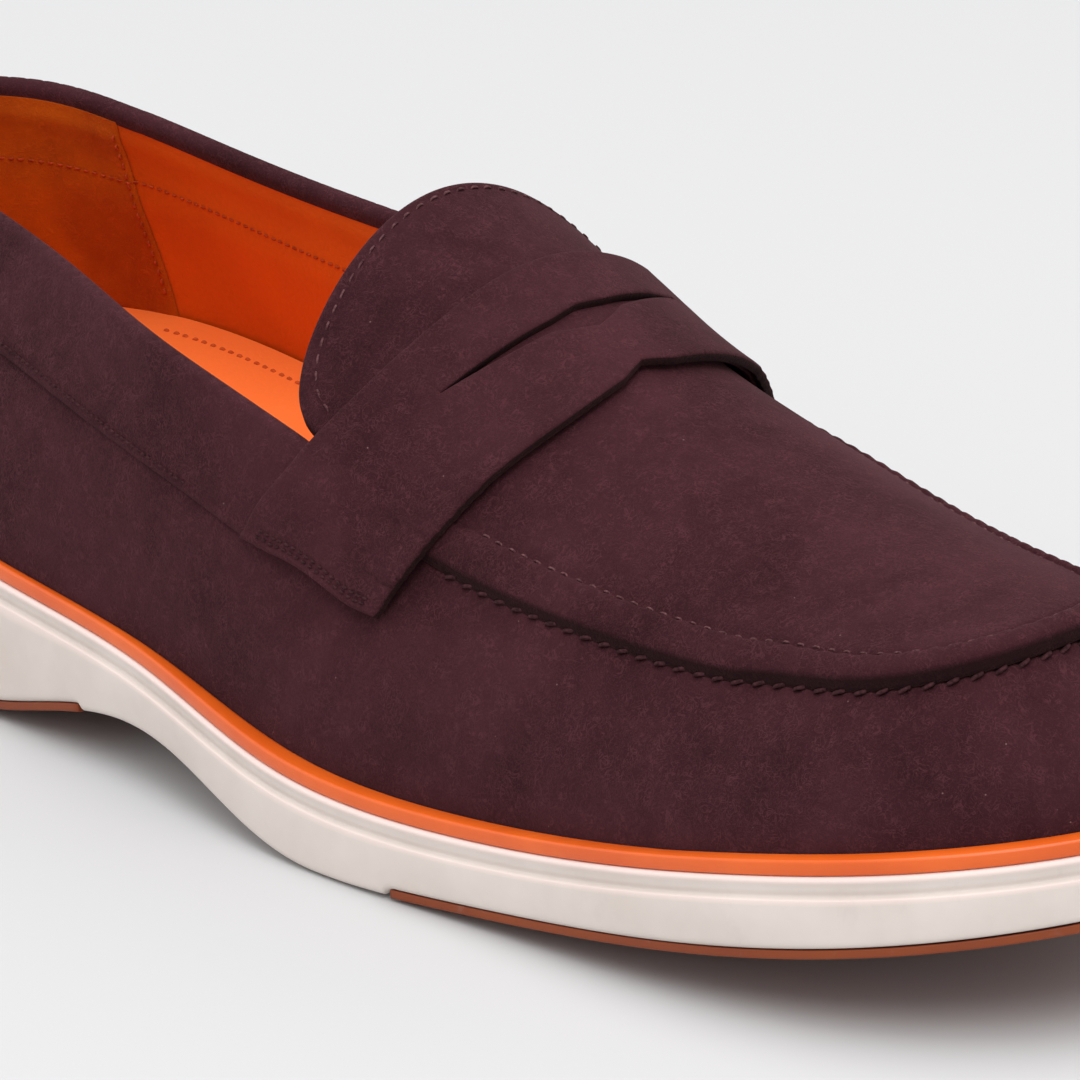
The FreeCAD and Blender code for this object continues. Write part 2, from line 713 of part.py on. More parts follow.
def make_stitches():
    """Visible rows of thread, lying on the pieces they hold."""
    lift = thread_radius + 0.05
    rim = apron_plan(4.2)
    rim_curve = Part.BSplineCurve()
    rim_curve.interpolate([Vector(p.x, p.y, 0) for p in rim], PeriodicFlag=True)
    first, last = rim_curve.FirstParameter, rim_curve.LastParameter

    def rim_path(t):
        p = rim_curve.value(first + (last - first) * t)
        p.z = crown(p.x, p.y) + layer_gap + apron_thickness + lift * 1.35
        return p

    rows = stitches(rim_path, stitch_pitch, stitch_length, thread_radius)
    under_strap = lambda s: 0.50 * sole_length < s.CenterOfMass.x < 0.63 * sole_length
    keep("apron_stitches", Part.makeCompound([s for s in rows if not under_strap(s)]))

    start = 0.60 * sole_length
    seam = lambda t: angle_at(start) + (turn - 2 * angle_at(start)) * t
    low = lambda t: wall(seam(t), 0.95, lift)

    def high(t):
        top = wall_top(seam(t)) + rib(seam(t))[1] * (apron_overhang + lift)
        top.z = crown(top.x, top.y) + apron_thickness * 0.5
        return top

    keep("seam_stitches", Part.makeCompound(cross_stitches(low, high, whip_pitch, thread_radius)))

    top = strap_lift + strap_backing_thickness + layer_gap + strap_thickness + lift
    rows = []
    for side in (-1, 1):
        for row in (0.965, 0.90):
            path = lambda t, side=side, row=row: strap_point(0.08 + 0.84 * t, side * row, top)
            rows += stitches(path, stitch_pitch * 0.75, stitch_length * 0.75, thread_radius, 120)
    keep("strap_stitches", Part.makeCompound(rows))

    angles = collar_angles(2)
    collar_angle = lambda t: angles[0] + (angles[1] - angles[0]) * (0.02 + 0.96 * t)

    def collar_path(t):
        a = collar_angle(t)
        return wall(a, v_at_width(a, collar_band_width - 2.5), layer_gap + collar_band_thickness + lift)

    keep("collar_stitches", Part.makeCompound(stitches(collar_path, stitch_pitch, stitch_length,
                                                       thread_radius, 240)))

    def lining_path(t):
        a = collar_angle(t)
        v = v_at_width(a, 11.5)
        return wall(a, v, -lining_depth(v) - lining_thickness - heel_grip_thickness - layer_gap - lift - 0.1)

    keep("lining_stitches", Part.makeCompound(stitches(lining_path, stitch_pitch, stitch_length,
                                                       thread_radius, 240)))

    def sock_path(t):
        a = turn - angle_at(0.14 * sole_length + 0.30 * sole_length * t)
        p = plan_point(a, footbed_inset(rib(a)[0].x) + 5.0)
        p.z = wall_seat(p.x) + board_thickness + footbed_rise(p.x, p.y) + sock_thickness + 0.2 + lift
        return p

    keep("sock_stitches", Part.makeCompound(
        stitches(sock_path, stitch_pitch, stitch_length, thread_radius, 200)))


make_sole()
make_bottom()
make_upper()
make_lining()
make_collar()
make_apron()
make_strap()
make_stitches()

for name, shape in pieces.items():
    shape.exportStep(f"parts/{name}.step")
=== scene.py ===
import math

import bmesh
import bpy
import numpy as np
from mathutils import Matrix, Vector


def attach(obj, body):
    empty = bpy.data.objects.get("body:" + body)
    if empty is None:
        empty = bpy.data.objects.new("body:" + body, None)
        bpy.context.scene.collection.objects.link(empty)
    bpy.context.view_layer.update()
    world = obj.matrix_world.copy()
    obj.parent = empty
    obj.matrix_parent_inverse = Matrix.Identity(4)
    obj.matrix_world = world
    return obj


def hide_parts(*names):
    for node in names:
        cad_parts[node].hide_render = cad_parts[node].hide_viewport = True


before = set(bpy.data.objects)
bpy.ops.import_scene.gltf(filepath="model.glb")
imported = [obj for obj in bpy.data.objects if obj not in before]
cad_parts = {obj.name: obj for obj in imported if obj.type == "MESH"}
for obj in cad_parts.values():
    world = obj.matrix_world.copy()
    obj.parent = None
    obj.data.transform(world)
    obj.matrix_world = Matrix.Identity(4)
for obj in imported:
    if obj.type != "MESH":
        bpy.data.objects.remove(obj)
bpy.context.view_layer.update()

print("frame loaded,", len(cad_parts), "nodes")

# Sizes are in millimetres with x = 0 at the back of the heel, +x to the toe and -y on the outer side.
# addMesh moves each piece to the frame, in metres.
turn = 2 * math.pi

shoe = {
    "length": 302.0, "ballWidth": 94.0,
    "heelSeat": 29.5, "waistSeat": 21.8, "ballSeat": 16.6, "toeSeat": 32.5,
    "arch": 9.0, "archStart": 0.23, "archEnd": 0.565, "toeSpring": 18.5, "springStart": 0.58,
    "collar": 78.0, "instep": 92.0, "weltHeight": 2.5, "weltSetback": 0.9,
    "featherMargin": 4.4, "heelMargin": 2.6, "spineStart": 42.0, "spineEndFromToe": 62.0,
    "heelTipY": -4.0, "toeTipY": 3.5, "leanHeel": 6.5, "leanToe": 18.5,
    "throatStart": 0.49, "throatEnd": 0.56, "seamDrop": 1.0, "innerFullness": 0.16,
    "ridgeYBack": -2.0, "ridgeYFront": 2.0,
    # share of the length, then the outer and the inner side, as shares of the ball's width or in mm
    "edge": ((0.04, 0.268, 0.240), (0.15, 0.412, 0.392), (0.28, 0.495, 0.394), (0.40, 0.516, 0.378),
             (0.53, 0.569, 0.412), (0.66, 0.545, 0.471), (0.795, 0.515, 0.489), (0.91, 0.411, 0.404)),
    "lean": ((0.04, 7.5, 8.0), (0.15, 12.0, 12.5), (0.28, 12.5, 9.3), (0.40, 6.5, 1.5), (0.53, 12.0, 3.0),
             (0.66, 11.2, 11.0), (0.795, 14.0, 17.5), (0.91, 14.6, 20.5), (0.97, 15.0, 20.0)),
    # share of the length and the topline's drop below the collar
    "toplineDrops": ((0.0, 0.0), (0.08, 1.3), (0.20, 4.5), (0.315, 7.7), (0.43, 13.0), (0.50, 18.7)),
    # share of the length, ridge above the instep, fall at half the ball's width
    "ridge": ((0.36, 12.0, 46.0), (0.45, 0.0, 46.0), (0.56, -14.5, 43.0), (0.68, -25.5, 34.0),
              (0.79, -33.0, 29.0), (0.90, -36.0, 21.0)),
}
length, ballWidth = shoe["length"], shoe["ballWidth"]


def naturalCurve(points):
    # natural cubic through (position, value) pairs, its bends from one tridiagonal system
    xs, ys = np.array(points, float).T
    gap = np.diff(xs)
    inner = np.arange(1, len(xs) - 1)
    system, right = np.eye(len(xs)), np.zeros(len(xs))
    system[inner, inner - 1] = gap[:-1]
    system[inner, inner] = 2 * (gap[:-1] + gap[1:])
    system[inner, inner + 1] = gap[1:]
    right[inner] = 6 * np.diff(np.diff(ys) / gap)
    bend = np.linalg.solve(system, right)

    def value(x):
        i = np.clip(np.searchsorted(xs, x) - 1, 0, len(gap) - 1)
        h = gap[i]
        a, b = (xs[i + 1] - x) / h, (x - xs[i]) / h
        return a * ys[i] + b * ys[i + 1] + ((a**3 - a) * bend[i] + (b**3 - b) * bend[i + 1]) * h * h / 6

    return value


def roundCurve(points):
    # closed curve through (angle, value) pairs: the turn repeated before and after
    curve = naturalCurve([(a + k * turn, v) for k in (-1, 0, 1) for a, v in points])
    return lambda angle: curve(np.mod(angle, turn))


def ease(x, start, end):
    # 0 before start, 1 after end, 3t^2 - 2t^3 between
    t = np.clip((x - start) / (end - start), 0.0, 1.0)
    return t * t * (3 - 2 * t)


def angleAt(x):
    # angle round the plan on the outer side: x = length / 2 * (1 - cos angle)
    return np.arccos(np.clip(1 - 2 * np.asarray(x, float) / length, -1, 1))


def ringPoints(heel, toe, stations, scale):
    # stations as (angle, value) pairs: heel, outer side, toe, inner side
    outer = [(float(angleAt(s * length)), o * scale) for s, o, _ in stations]
    inner = [(turn - float(angleAt(s * length)), i * scale) for s, _, i in reversed(stations)]
    return [(0.0, heel)] + outer + [(math.pi, toe)] + inner


edgeRing = ringPoints(shoe["heelTipY"], shoe["toeTipY"], shoe["edge"], ballWidth)
edgeCurve = roundCurve([(a, -v if 0 < a < math.pi else v) for a, v in edgeRing])
leanCurve = roundCurve(ringPoints(shoe["leanHeel"], shoe["leanToe"], shoe["lean"], 1.0))
seatCurve = naturalCurve([
    (0.0, shoe["heelSeat"]), (0.20 * length, shoe["heelSeat"] - 2.0),
    (0.315 * length, (shoe["heelSeat"] + shoe["waistSeat"]) / 2 - 0.4), (0.415 * length, shoe["waistSeat"]),
    (0.53 * length, shoe["ballSeat"] - 0.2), (0.695 * length, shoe["ballSeat"] + 0.4),
    (0.845 * length, (shoe["ballSeat"] + shoe["toeSeat"]) / 2), (length, shoe["toeSeat"])])
toplineCurve = naturalCurve([(s * length, shoe["collar"] - d) for s, d in shoe["toplineDrops"]])
ridgeCurve = naturalCurve([(s * length, shoe["instep"] + h) for s, h, _ in shoe["ridge"]])
fallCurve = naturalCurve([(s * length, f) for s, _, f in shoe["ridge"]])


def xyz(x, y, z):
    # three broadcast coordinates as one array of points
    return np.stack(np.broadcast_arrays(x, y, z), -1).astype(float)


def unit(vectors):
    return vectors / np.maximum(np.linalg.norm(vectors, axis=-1, keepdims=True), 1e-9)


def seat(x):
    # top of the welt
    return seatCurve(np.clip(x, 0.0, length))


def wallSeat(x):
    # top of the midsole, where the wall stands
    return seat(x) - shoe["weltHeight"]


def ground(x):
    # underside: a squared sine in the waist and a power sweep at the toe
    t = np.clip((x / length - shoe["archStart"]) / (shoe["archEnd"] - shoe["archStart"]), 0.0, 1.0)
    sweep = np.maximum((x / length - shoe["springStart"]) / (1 - shoe["springStart"]), 0.0)
    return shoe["arch"] * np.sin(math.pi * t) ** 2 + shoe["toeSpring"] * sweep**1.5


def rib(angle):
    # point of the sole's edge and its outward direction, fanned from a middle line
    angle = np.asarray(angle, float)
    x, y = length / 2 * (1 - np.cos(angle)), edgeCurve(angle)
    centre = np.clip(x, shoe["spineStart"], length - shoe["spineEndFromToe"])
    return xyz(x, y, 0.0), unit(xyz(x - centre, y, 0.0))


def margin(x):
    # sole edge to the foot of the wall, narrower at the heel
    forwards = ease(x, 0.34 * length, 0.54 * length)
    return shoe["heelMargin"] + (shoe["featherMargin"] - shoe["heelMargin"]) * forwards


def planPoint(angle, inset):
    # the sole's edge moved inwards along its ribs
    foot, out = rib(angle)
    return foot - out * np.asarray(inset, float)[..., None]


def ridgeY(x):
    # the ridge crosses from one side of the middle line to the other in a straight line
    along = (x / length - shoe["ridge"][0][0]) / (shoe["ridge"][-1][0] - shoe["ridge"][0][0])
    return shoe["ridgeYBack"] + (shoe["ridgeYFront"] - shoe["ridgeYBack"]) * along


def crown(x, y):
    # underside of the apron: a ridge line less a parabola across it
    side = (y - ridgeY(x)) / (ballWidth / 2)
    held = np.minimum(x, 0.92 * length)
    full = np.where(side > 0, shoe["innerFullness"] * (1 - ease(x, 0.50 * length, 0.63 * length)), 0.0)
    return ridgeCurve(held) - fallCurve(held) * (1 - full) * side * side


def wallTop(angle):
    # topline at the back, eased into the apron's seam at the throat
    p = planPoint(angle, margin(rib(angle)[0][..., 0]) + leanCurve(angle))
    x = p[..., 0]
    back = toplineCurve(np.minimum(x, 0.50 * length))
    front = np.where(x > 0.36 * length, crown(x, p[..., 1]) - shoe["seamDrop"], back)
    p[..., 2] = back + (front - back) * ease(x, shoe["throatStart"] * length, shoe["throatEnd"] * length)
    return p


def wallBase(angle, v):
    # cubic from the foot of the wall to its top, leaning inwards
    angle, v = np.broadcast_arrays(np.asarray(angle, float), np.asarray(v, float))
    foot, out = rib(angle)
    p0 = foot - out * margin(foot[..., 0])[..., None]
    p0[..., 2] = wallSeat(p0[..., 0])
    p3 = wallTop(angle)
    rise = np.zeros_like(p0)
    rise[..., 2] = p3[..., 2] - p0[..., 2]
    p1 = p0 + rise * 0.42 + out * 0.5
    p2 = p3 + out * (leanCurve(angle) * 0.40 + 0.8)[..., None] - rise * 0.26
    v = v[..., None]
    w = 1 - v
    return p0 * w**3 + p1 * (3 * w * w * v) + p2 * (3 * w * v * v) + p3 * v**3


def wallNormal(angle, v):
    # outward normal: cross product of the surface's two differences
    step = 0.002
    along = wallBase(angle + step, v) - wallBase(angle - step, v)
    rising = wallBase(angle, v + step) - wallBase(angle, v - step)
    normal = unit(np.cross(along, rising))
    inward = np.sum(normal * rib(np.broadcast_arrays(angle, v)[0])[1], -1, keepdims=True) < 0
    return np.where(inward, -normal, normal)


def wall(angle, v, offset=0.0):
    # the wall moved along its normal
    angle, v = np.broadcast_arrays(np.asarray(angle, float), np.asarray(v, float))
    return wallBase(angle, v) + wallNormal(angle, v) * np.asarray(offset, float)[..., None]


def section(x, u):
    # outline of the finished upper across the shoe: -1 low outside, 0 at the ridge, 1 low inside
    outer, inner = angleAt(x), turn - angleAt(x)
    low = wall(np.where(u < 0, outer, inner), 1 - np.maximum(np.abs(u) - 0.5, 0.0) * 1.5, 0.4)
    a, b = wallTop(outer), wallTop(inner)
    y = (a[..., 1] + b[..., 1]) / 2 + (b[..., 1] - a[..., 1] + 2.0) * u
    high = xyz(x, y, crown(x, y) + 2.7)
    return np.where((np.abs(u) > 0.5)[..., None], low, high)


def hull(x, u, offset):
    # the section smoothed by a moving average of nine samples, moved outwards
    def smooth(ux, uu):
        return sum(section(ux, np.clip(uu + 0.028 * k, -1.1, 1.1)) for k in range(-4, 5)) / 9

    x, u = np.broadcast_arrays(np.asarray(x, float), np.asarray(u, float))
    across = smooth(x, u + 0.01) - smooth(x, u - 0.01)
    along = smooth(x + 0.5, u) - smooth(x - 0.5, u)
    return smooth(x, u) + unit(np.cross(along, across)) * np.asarray(offset, float)[..., None]


outline = planPoint(np.linspace(0, turn, 720, endpoint=False), 0.0)
frameShift = -(outline.min(0) + outline.max(0)) / 2 * [1, 1, 0]


# meshes from grids of points

def addMesh(name, points, faces, finishes, slot, nodes=(), cut=None, marks=None):
    # one piece: its points in metres in the frame, doubles merged and faces turned outwards;
    # its edge tint darkens suede cut edges, partly as painted shade, and paints highlights on the midsole's
    # lips; "marks" picks the finish of each face
    mesh = bpy.data.meshes.new(name)
    quads = [face.tolist() for face in faces] if isinstance(faces, np.ndarray) else faces
    mesh.from_pydata(((points.reshape(-1, 3) + frameShift) / 1000).tolist(), [], quads)
    if cut is not None:
        tint = mesh.attributes.new("cut", "FLOAT", "POINT")
        tint.data.foreach_set("value", np.ravel(cut).astype(np.float32))
    if marks is not None:
        mesh.polygons.foreach_set("material_index", np.asarray(marks, np.int32))
    work = bmesh.new()
    work.from_mesh(mesh)
    bmesh.ops.remove_doubles(work, verts=work.verts, dist=2e-7)
    bmesh.ops.dissolve_degenerate(work, edges=work.edges, dist=1e-7)
    bmesh.ops.recalc_face_normals(work, faces=work.faces)
    work.to_mesh(mesh)
    work.free()
    mesh.polygons.foreach_set("use_smooth", [True] * len(mesh.polygons))
    piece = bpy.data.objects.new(name, mesh)
    bpy.context.scene.collection.objects.link(piece)
    for finish in finishes:
        mesh.materials.append(finish)
    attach(piece, "root")
    if nodes:
        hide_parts(*nodes)
    print(name, len(mesh.polygons), "faces")
    return piece


def ringFaces(count, size, closed=False):
    # quads of a tube: rings of equal size one after another
    i = np.arange(count if closed else count - 1)[:, None]
    j = np.arange(size)[None, :]
    nextI, nextJ = (i + 1) % count, (j + 1) % size
    quads = np.stack([i * size + j, nextI * size + j, nextI * size + nextJ, i * size + nextJ], -1)
    return quads.reshape(-1, 4)


def bandFaces(count, size):
    # quads of a closed round of profiles; each profile's two ends meet the opposite ones by themselves
    i, j = np.arange(count)[:, None], np.arange(size - 1)[None, :]
    after = (i + 1) % count
    quads = np.stack([i * size + j, after * size + j, after * size + j + 1, i * size + j + 1], -1)
    return quads.reshape(-1, 4)


def slab(outer, inner, closed=False, bulge=0.0, rim=3):
    # closed shell between two facing grids: each ring runs out along one face, round a rim and back
    # along the other
    n, m = outer.shape[:2]
    t = np.linspace(0, math.pi, rim + 2)[1:-1]

    def edge(a, b, beyond):
        out = unit(beyond) * bulge
        mid, half = (a + b) / 2, (a - b) / 2
        return np.stack([mid + half * math.cos(k) + out * math.sin(k) for k in t], 1)

    far = edge(outer[:, -1], inner[:, -1], outer[:, -1] - outer[:, -2])
    near = edge(inner[:, 0], outer[:, 0], outer[:, 0] - outer[:, 1])
    rings = np.concatenate([outer, far, inner[:, ::-1], near], 1)
    size = rings.shape[1]
    faces = ringFaces(n, size, closed).tolist()
    if not closed:
        for row, flip in ((0, False), (n - 1, True)):
            first = row * size
            back = first + m + rim
            strip = [[first + j, first + j + 1, back + m - 2 - j, back + m - 1 - j] for j in range(m - 1)]
            strip.append(list(range(first + m - 1, first + m + rim + 1)))
            strip.append(list(range(back + m - 1, first + size)) + [first])
            faces += [face[::-1] for face in strip] if flip else strip
    return rings, faces, m, rim


def waves(points, size, seed):
    # gentle unevenness: a sum of sine waves in fixed pseudo-random directions
    random = np.random.default_rng(seed)
    total = np.zeros(points.shape[:-1])
    for k in range(7):
        direction = unit(random.normal(size=3))
        scale = turn / (size * random.uniform(0.7, 1.6))
        total += np.sin(points @ direction * scale + random.uniform(0, turn))
    return total / 7


def lengthAlong(points):
    # running length of a path
    run = np.linalg.norm(np.diff(points, axis=0), axis=-1)
    return np.concatenate([[0.0], np.cumsum(run)])


def threadRow(path, normals, pitch, stitch, radius, lift=0.6, slant=0.0, skip=None, seed=1):
    # round stitches along a path: each bows up in its middle, tapers and dips at its ends
    random = np.random.default_rng(seed)
    run = lengthAlong(path)

    def sample(values, where):
        # values of the path at running lengths
        return np.stack([np.interp(where, run, values[:, k]) for k in range(3)], -1)

    number = max(int(run[-1] / pitch), 1)
    starts = (np.arange(number) + 0.5) * run[-1] / number
    starts = starts + random.uniform(-0.05, 0.05, number) * pitch
    if skip is not None:
        starts = starts[~skip(sample(path, starts))]
        number = len(starts)
    rings, sides = 8, 6
    t = np.linspace(0, 1, rings)
    sizes = stitch * random.uniform(0.92, 1.06, number)
    where = starts[:, None] + (t[None] - 0.5) * sizes[:, None]
    centre, normal = sample(path, where), unit(sample(normals, where))
    along = unit(np.gradient(centre, axis=1))
    side = unit(np.cross(along, normal))
    arch = 1 - (2 * t - 1) ** 4
    tilt = slant + random.uniform(-0.05, 0.05, number)
    centre = centre + normal * (radius * (lift * arch * 2 - 1.0 * (1 - arch)))[None, :, None]
    centre = centre + side * ((t[None] - 0.5) * tilt[:, None] * stitch)[..., None]
    thick = radius * np.sqrt(np.maximum(1 - (2 * t - 1) ** 6, 0.02))
    around = np.linspace(0, turn, sides, endpoint=False)[None, None, :, None]
    ring = side[:, :, None] * np.cos(around) + normal[:, :, None] * np.sin(around) * 0.9
    points = centre[:, :, None] + ring * thick[None, :, None, None]
    size = rings * sides
    shifts = (np.arange(number) * size)[:, None, None]
    faces = (ringFaces(rings, sides)[None] + shifts).reshape(-1, 4).tolist()
    for k in range(number):
        faces.append([k * size + j for j in range(sides - 1, -1, -1)])
        faces.append([(k + 1) * size - sides + j for j in range(sides)])
    return points.reshape(-1, 3), faces


def joinRows(rows):
    # several rows of stitches as one mesh
    points, faces, start = [], [], 0
    for p, f in rows:
        points.append(p)
        faces += [[i + start for i in face] for face in f]
        start += len(p)
    return np.concatenate(points), faces


# materials

def colour(code):
    # display value as two hex digits per channel, turned linear
    raw = [int(code[i:i + 2], 16) / 255 for i in (0, 2, 4)]
    return tuple(c / 12.92 if c <= 0.04045 else ((c + 0.055) / 1.055) ** 2.4 for c in raw) + (1.0,)


class Wire:
    # a socket that joins in Python sums; node() adds any other node beside it
    def __init__(self, tree, socket=None):
        self.tree, self.socket = tree, socket

    def node(self, kind, settings=None, inputs=None, output=0):
        made = self.tree.nodes.new(kind)
        for key, value in (settings or {}).items():
            setattr(made, key, value)
        for key, value in (inputs or {}).items():
            if isinstance(value, Wire):
                self.tree.links.new(value.socket, made.inputs[key])
            else:
                made.inputs[key].default_value = value
        return Wire(self.tree, made.outputs[output] if len(made.outputs) else None)

    def maths(self, operation, *values):
        return self.node("ShaderNodeMath", {"operation": operation}, dict(enumerate(values)))

    def __add__(self, other):
        return self.maths("ADD", self, other)

    def __radd__(self, other):
        return self.maths("ADD", other, self)

    def __sub__(self, other):
        return self.maths("SUBTRACT", self, other)

    def __rsub__(self, other):
        return self.maths("SUBTRACT", other, self)

    def __mul__(self, other):
        return self.maths("MULTIPLY", self, other)

    def __rmul__(self, other):
        return self.maths("MULTIPLY", other, self)

    def clip(self, low, high):
        # low to high spread over 0 to 1 and held there
        return self.node("ShaderNodeMapRange", {"clamp": True}, {0: self, 1: low, 2: high, 3: 0.0, 4: 1.0})

    def blend(self, first, second):
        # colours mixed by this mask
        return self.node("ShaderNodeMix", {"data_type": "RGBA"}, {0: self, 6: first, 7: second}, 2)


def newFinish(name):
    # an empty material, its first wire and its Object coordinates
    made = bpy.data.materials.new(name)
    made.use_nodes = True
    made.node_tree.nodes.clear()
    start = Wire(made.node_tree)
    return made, start, start.node("ShaderNodeTexCoord", output=3)


def finishWith(start, shader, bump=None, height=0.3, distance=0.0003):
    # closes a material: the bump feeds the normal, the shader feeds the output
    if bump is not None:
        relief = {"Height": bump, "Strength": height, "Distance": distance}
        shader["Normal"] = start.node("ShaderNodeBump", None, relief)
    body = start.node("ShaderNodeBsdfPrincipled", None, shader)
    start.node("ShaderNodeOutputMaterial", None, {0: body})


def noise(start, where, scale, detail=2.0, rough=0.5, twist=0.0):
    return start.node("ShaderNodeTexNoise", None, {"Vector": where, "Scale": scale, "Detail": detail,
                                                   "Roughness": rough, "Distortion": twist})


suedeLook = {
    # the last colour darkens cut edges and also stands for painted shade under the apron's rim and along the
    # collar's edge
    "dark": "290f14", "mid": "412026", "light": "65393f", "speck": "9a7672", "cut": "160809",
    "napScale": 34.0, "fibreScale": 560.0, "grainScale": 1500.0, "speckScale": 170.0,
}


def makeSuede(name, look, bumpHeight=0.55, spread=1.0):
    # brushed leather: broad nap, curled fibres where a noise crosses its middle, rare pale specks
    made, start, where = newFinish(name)
    nap = noise(start, where, look["napScale"], 3.0, 0.55, 0.6)
    patch = noise(start, where, look["napScale"] * 4.5, 3.0, 0.6, 0.3)
    curl = noise(start, where, look["fibreScale"], 2.0, 0.5, 1.6)
    curlTwo = noise(start, where, look["fibreScale"] * 1.7, 2.0, 0.5, 2.2)
    gate = noise(start, where, look["fibreScale"] * 0.6, 1.0).clip(0.36, 0.60)
    fibre = (1.0 - curl.maths("ABSOLUTE", curl - 0.5) * 20.0).clip(0.0, 1.0) * gate
    fibreTwo = (1.0 - curlTwo.maths("ABSOLUTE", curlTwo - 0.46) * 20.0).clip(0.0, 1.0)
    grain = noise(start, where, look["grainScale"], 2.0, 0.6)
    dots = {"Vector": where, "Scale": look["speckScale"]}
    speck = 1.0 - start.node("ShaderNodeTexVoronoi", {"feature": "F1"}, dots).clip(0.014, 0.03)
    tone = (nap.clip(0.32, 0.68) * 0.65 + patch.clip(0.3, 0.7) * 0.25 + grain * 0.25).clip(0.1, 1.0)
    shade = tone.blend(colour(look["dark"]), colour(look["mid"]))
    shade = (fibre * 0.34 * spread + fibreTwo * 0.24 * spread).blend(shade, colour(look["light"]))
    shade = (speck * 0.5).blend(shade, colour(look["speck"]))
    # darker cut edges, partly painted shade: the wall's top under the apron's rim, the apron's side,
    # underside and shoulder, and the collar's lower edge
    cutEdge = start.node("ShaderNodeAttribute", {"attribute_name": "cut"}, output=2)
    shade = cutEdge.blend(shade, colour(look["cut"]))
    height = fibre * 0.5 + fibreTwo * 0.25 + grain * 0.45 + patch * 0.3
    finishWith(start, {"Base Color": shade, "Roughness": 0.95, "Specular IOR Level": 0.12,
                       "Sheen Weight": 0.14, "Sheen Roughness": 0.4, "Sheen Tint": colour("b06c70")},
               height, bumpHeight, 0.0004)
    return made


def makeLeather(name, deep, light, rough, grainScale, bumpHeight):
    # smooth leather: cell grain with creases between the cells, and slow changes of tone
    made, start, where = newFinish(name)
    cells = start.node("ShaderNodeTexVoronoi", {"feature": "DISTANCE_TO_EDGE"},
                       {"Vector": where, "Scale": grainScale, "Randomness": 1.0}).clip(0.0, 0.25)
    slow = noise(start, where, 24.0, 3.0)
    fine = noise(start, where, grainScale * 1.6, 2.0)
    shade = (slow.clip(0.3, 0.7) * 0.75 + fine * 0.25).blend(colour(deep), colour(light))
    finishWith(start, {"Base Color": shade, "Roughness": slow * 0.2 + rough, "Specular IOR Level": 0.35},
               cells * 0.6 + fine * 0.4, bumpHeight, 0.0002)
    return made


def makeRubber(name, deep, light, rough, bumpHeight=0.12, scuffs=0.0, coat=0.0):
    # moulded rubber or foam: fine pores, faint clouds, a few rubbed marks and lips paler with painted
    # highlights
    made, start, where = newFinish(name)
    clouds = noise(start, where, 45.0, 4.0, 0.6)
    pores = noise(start, where, 2400.0, 2.0)
    rubs = noise(start, where, 160.0, 4.0, 0.7, 0.4).clip(0.60, 0.74)
    shade = clouds.clip(0.3, 0.7).blend(colour(deep), colour(light))
    shade = (rubs * scuffs).blend(shade, colour("b9b0aa"))
    # painted highlights on the midsole's lips, from the mesh's edge tint
    lip = start.node("ShaderNodeAttribute", {"attribute_name": "cut"}, output=2)
    shade = lip.blend(shade, colour("f6dcd6"))
    finishWith(start, {"Base Color": shade, "Roughness": clouds * 0.12 + rough, "Specular IOR Level": 0.4,
                       "Coat Weight": coat, "Coat Roughness": 0.25},
               pores * 0.5 + clouds * 0.6, bumpHeight, 0.0002)
    return made


def makeThread(name, deep, light):
    # twisted thread: fine uneven fibres along the strand
    made, start, where = newFinish(name)
    twist = noise(start, where, 1800.0, 2.0, 0.6)
    shade = twist.clip(0.3, 0.7).blend(colour(deep), colour(light))
    finishWith(start, {"Base Color": shade, "Roughness": 0.8, "Specular IOR Level": 0.15}, twist, 0.4, 0.0002)
    return made


suede = makeSuede("burgundySuede", suedeLook)
edgeLook = {**suedeLook, "dark": "1a0f10", "mid": "2a1618", "light": "3a2124"}
suedeEdge = makeSuede("suedeCutEdge", edgeLook, 0.7, 0.6)
lining = makeLeather("orangeLining", "b04000", "d65a00", 0.5, 700.0, 0.25)
gripLook = {**suedeLook, "dark": "8e3402", "mid": "ae4a04", "light": "c45a18", "speck": "c45a18",
            "cut": "7a2408", "napScale": 60.0, "fibreScale": 420.0}
heelLining = makeSuede("orangeHeelLining", gripLook, 0.4, 0.7)
sockLeather = makeLeather("orangeSock", "fc7430", "ff8038", 0.45, 620.0, 0.2)
weltRubber = makeRubber("orangeWelt", "d6540c", "e8661a", 0.30, 0.06, 0.0, 0.25)
padRubber = makeRubber("orangeOutsole", "7c3410", "8e4016", 0.5, 0.15, 0.15)
midsoleFoam = makeRubber("offWhiteMidsole", "d3c7bf", "dfd5ce", 0.42, 0.10, 0.16)
footFoam = makeRubber("footbedFoam", "3a3634", "4a4542", 0.8, 0.5)
boardFibre = makeRubber("fibreBoard", "8a7355", "a58c6a", 0.8, 0.5)
corkFiller = makeRubber("corkFiller", "7a5a3c", "a37c52", 0.85, 0.7)
shankSteel = makeRubber("shankSteel", "7c7f84", "94979c", 0.35, 0.1)
stiffenerFibre = makeRubber("stiffenerFibre", "b9ae9a", "cfc5b2", 0.8, 0.4)
tonalThread = makeThread("burgundyThread", "220d10", "4a282c")
paleThread = makeThread("lightBurgundyThread", "35181c", "704a4c")
orangeThread = makeThread("liningThread", "8c2a0c", "b8441e")
holeShade = makeThread("sockHoles", "b84a1c", "cc5c2c")
print("materials made")


# sole unit

midsole = {
    "bottomRound": 1.3, "stepDepth": 3.5, "count": 900, "padThickness": 1.5, "waistRise": 0.3,
    "padEndHeel": 106.0, "padStartFront": 186.0, "windowEdge": 1.5, "middleReach": 3.0, "hollow": 0.12,
    # moulded lip below the welt: inset from the edge, drop below the top
    "lip": ((0.04, 3.42), (0.14, 3.33), (0.45, 3.22), (0.85, 3.14), (0.99, 2.95), (0.96, 2.7), (0.80, 2.4),
            (0.68, 2.1), (0.66, 1.7), (0.58, 1.3), (0.48, 1.0), (0.42, 0.75), (0.44, 0.5), (0.58, 0.22),
            (0.85, 0.06), (1.2, 0.0)),
}


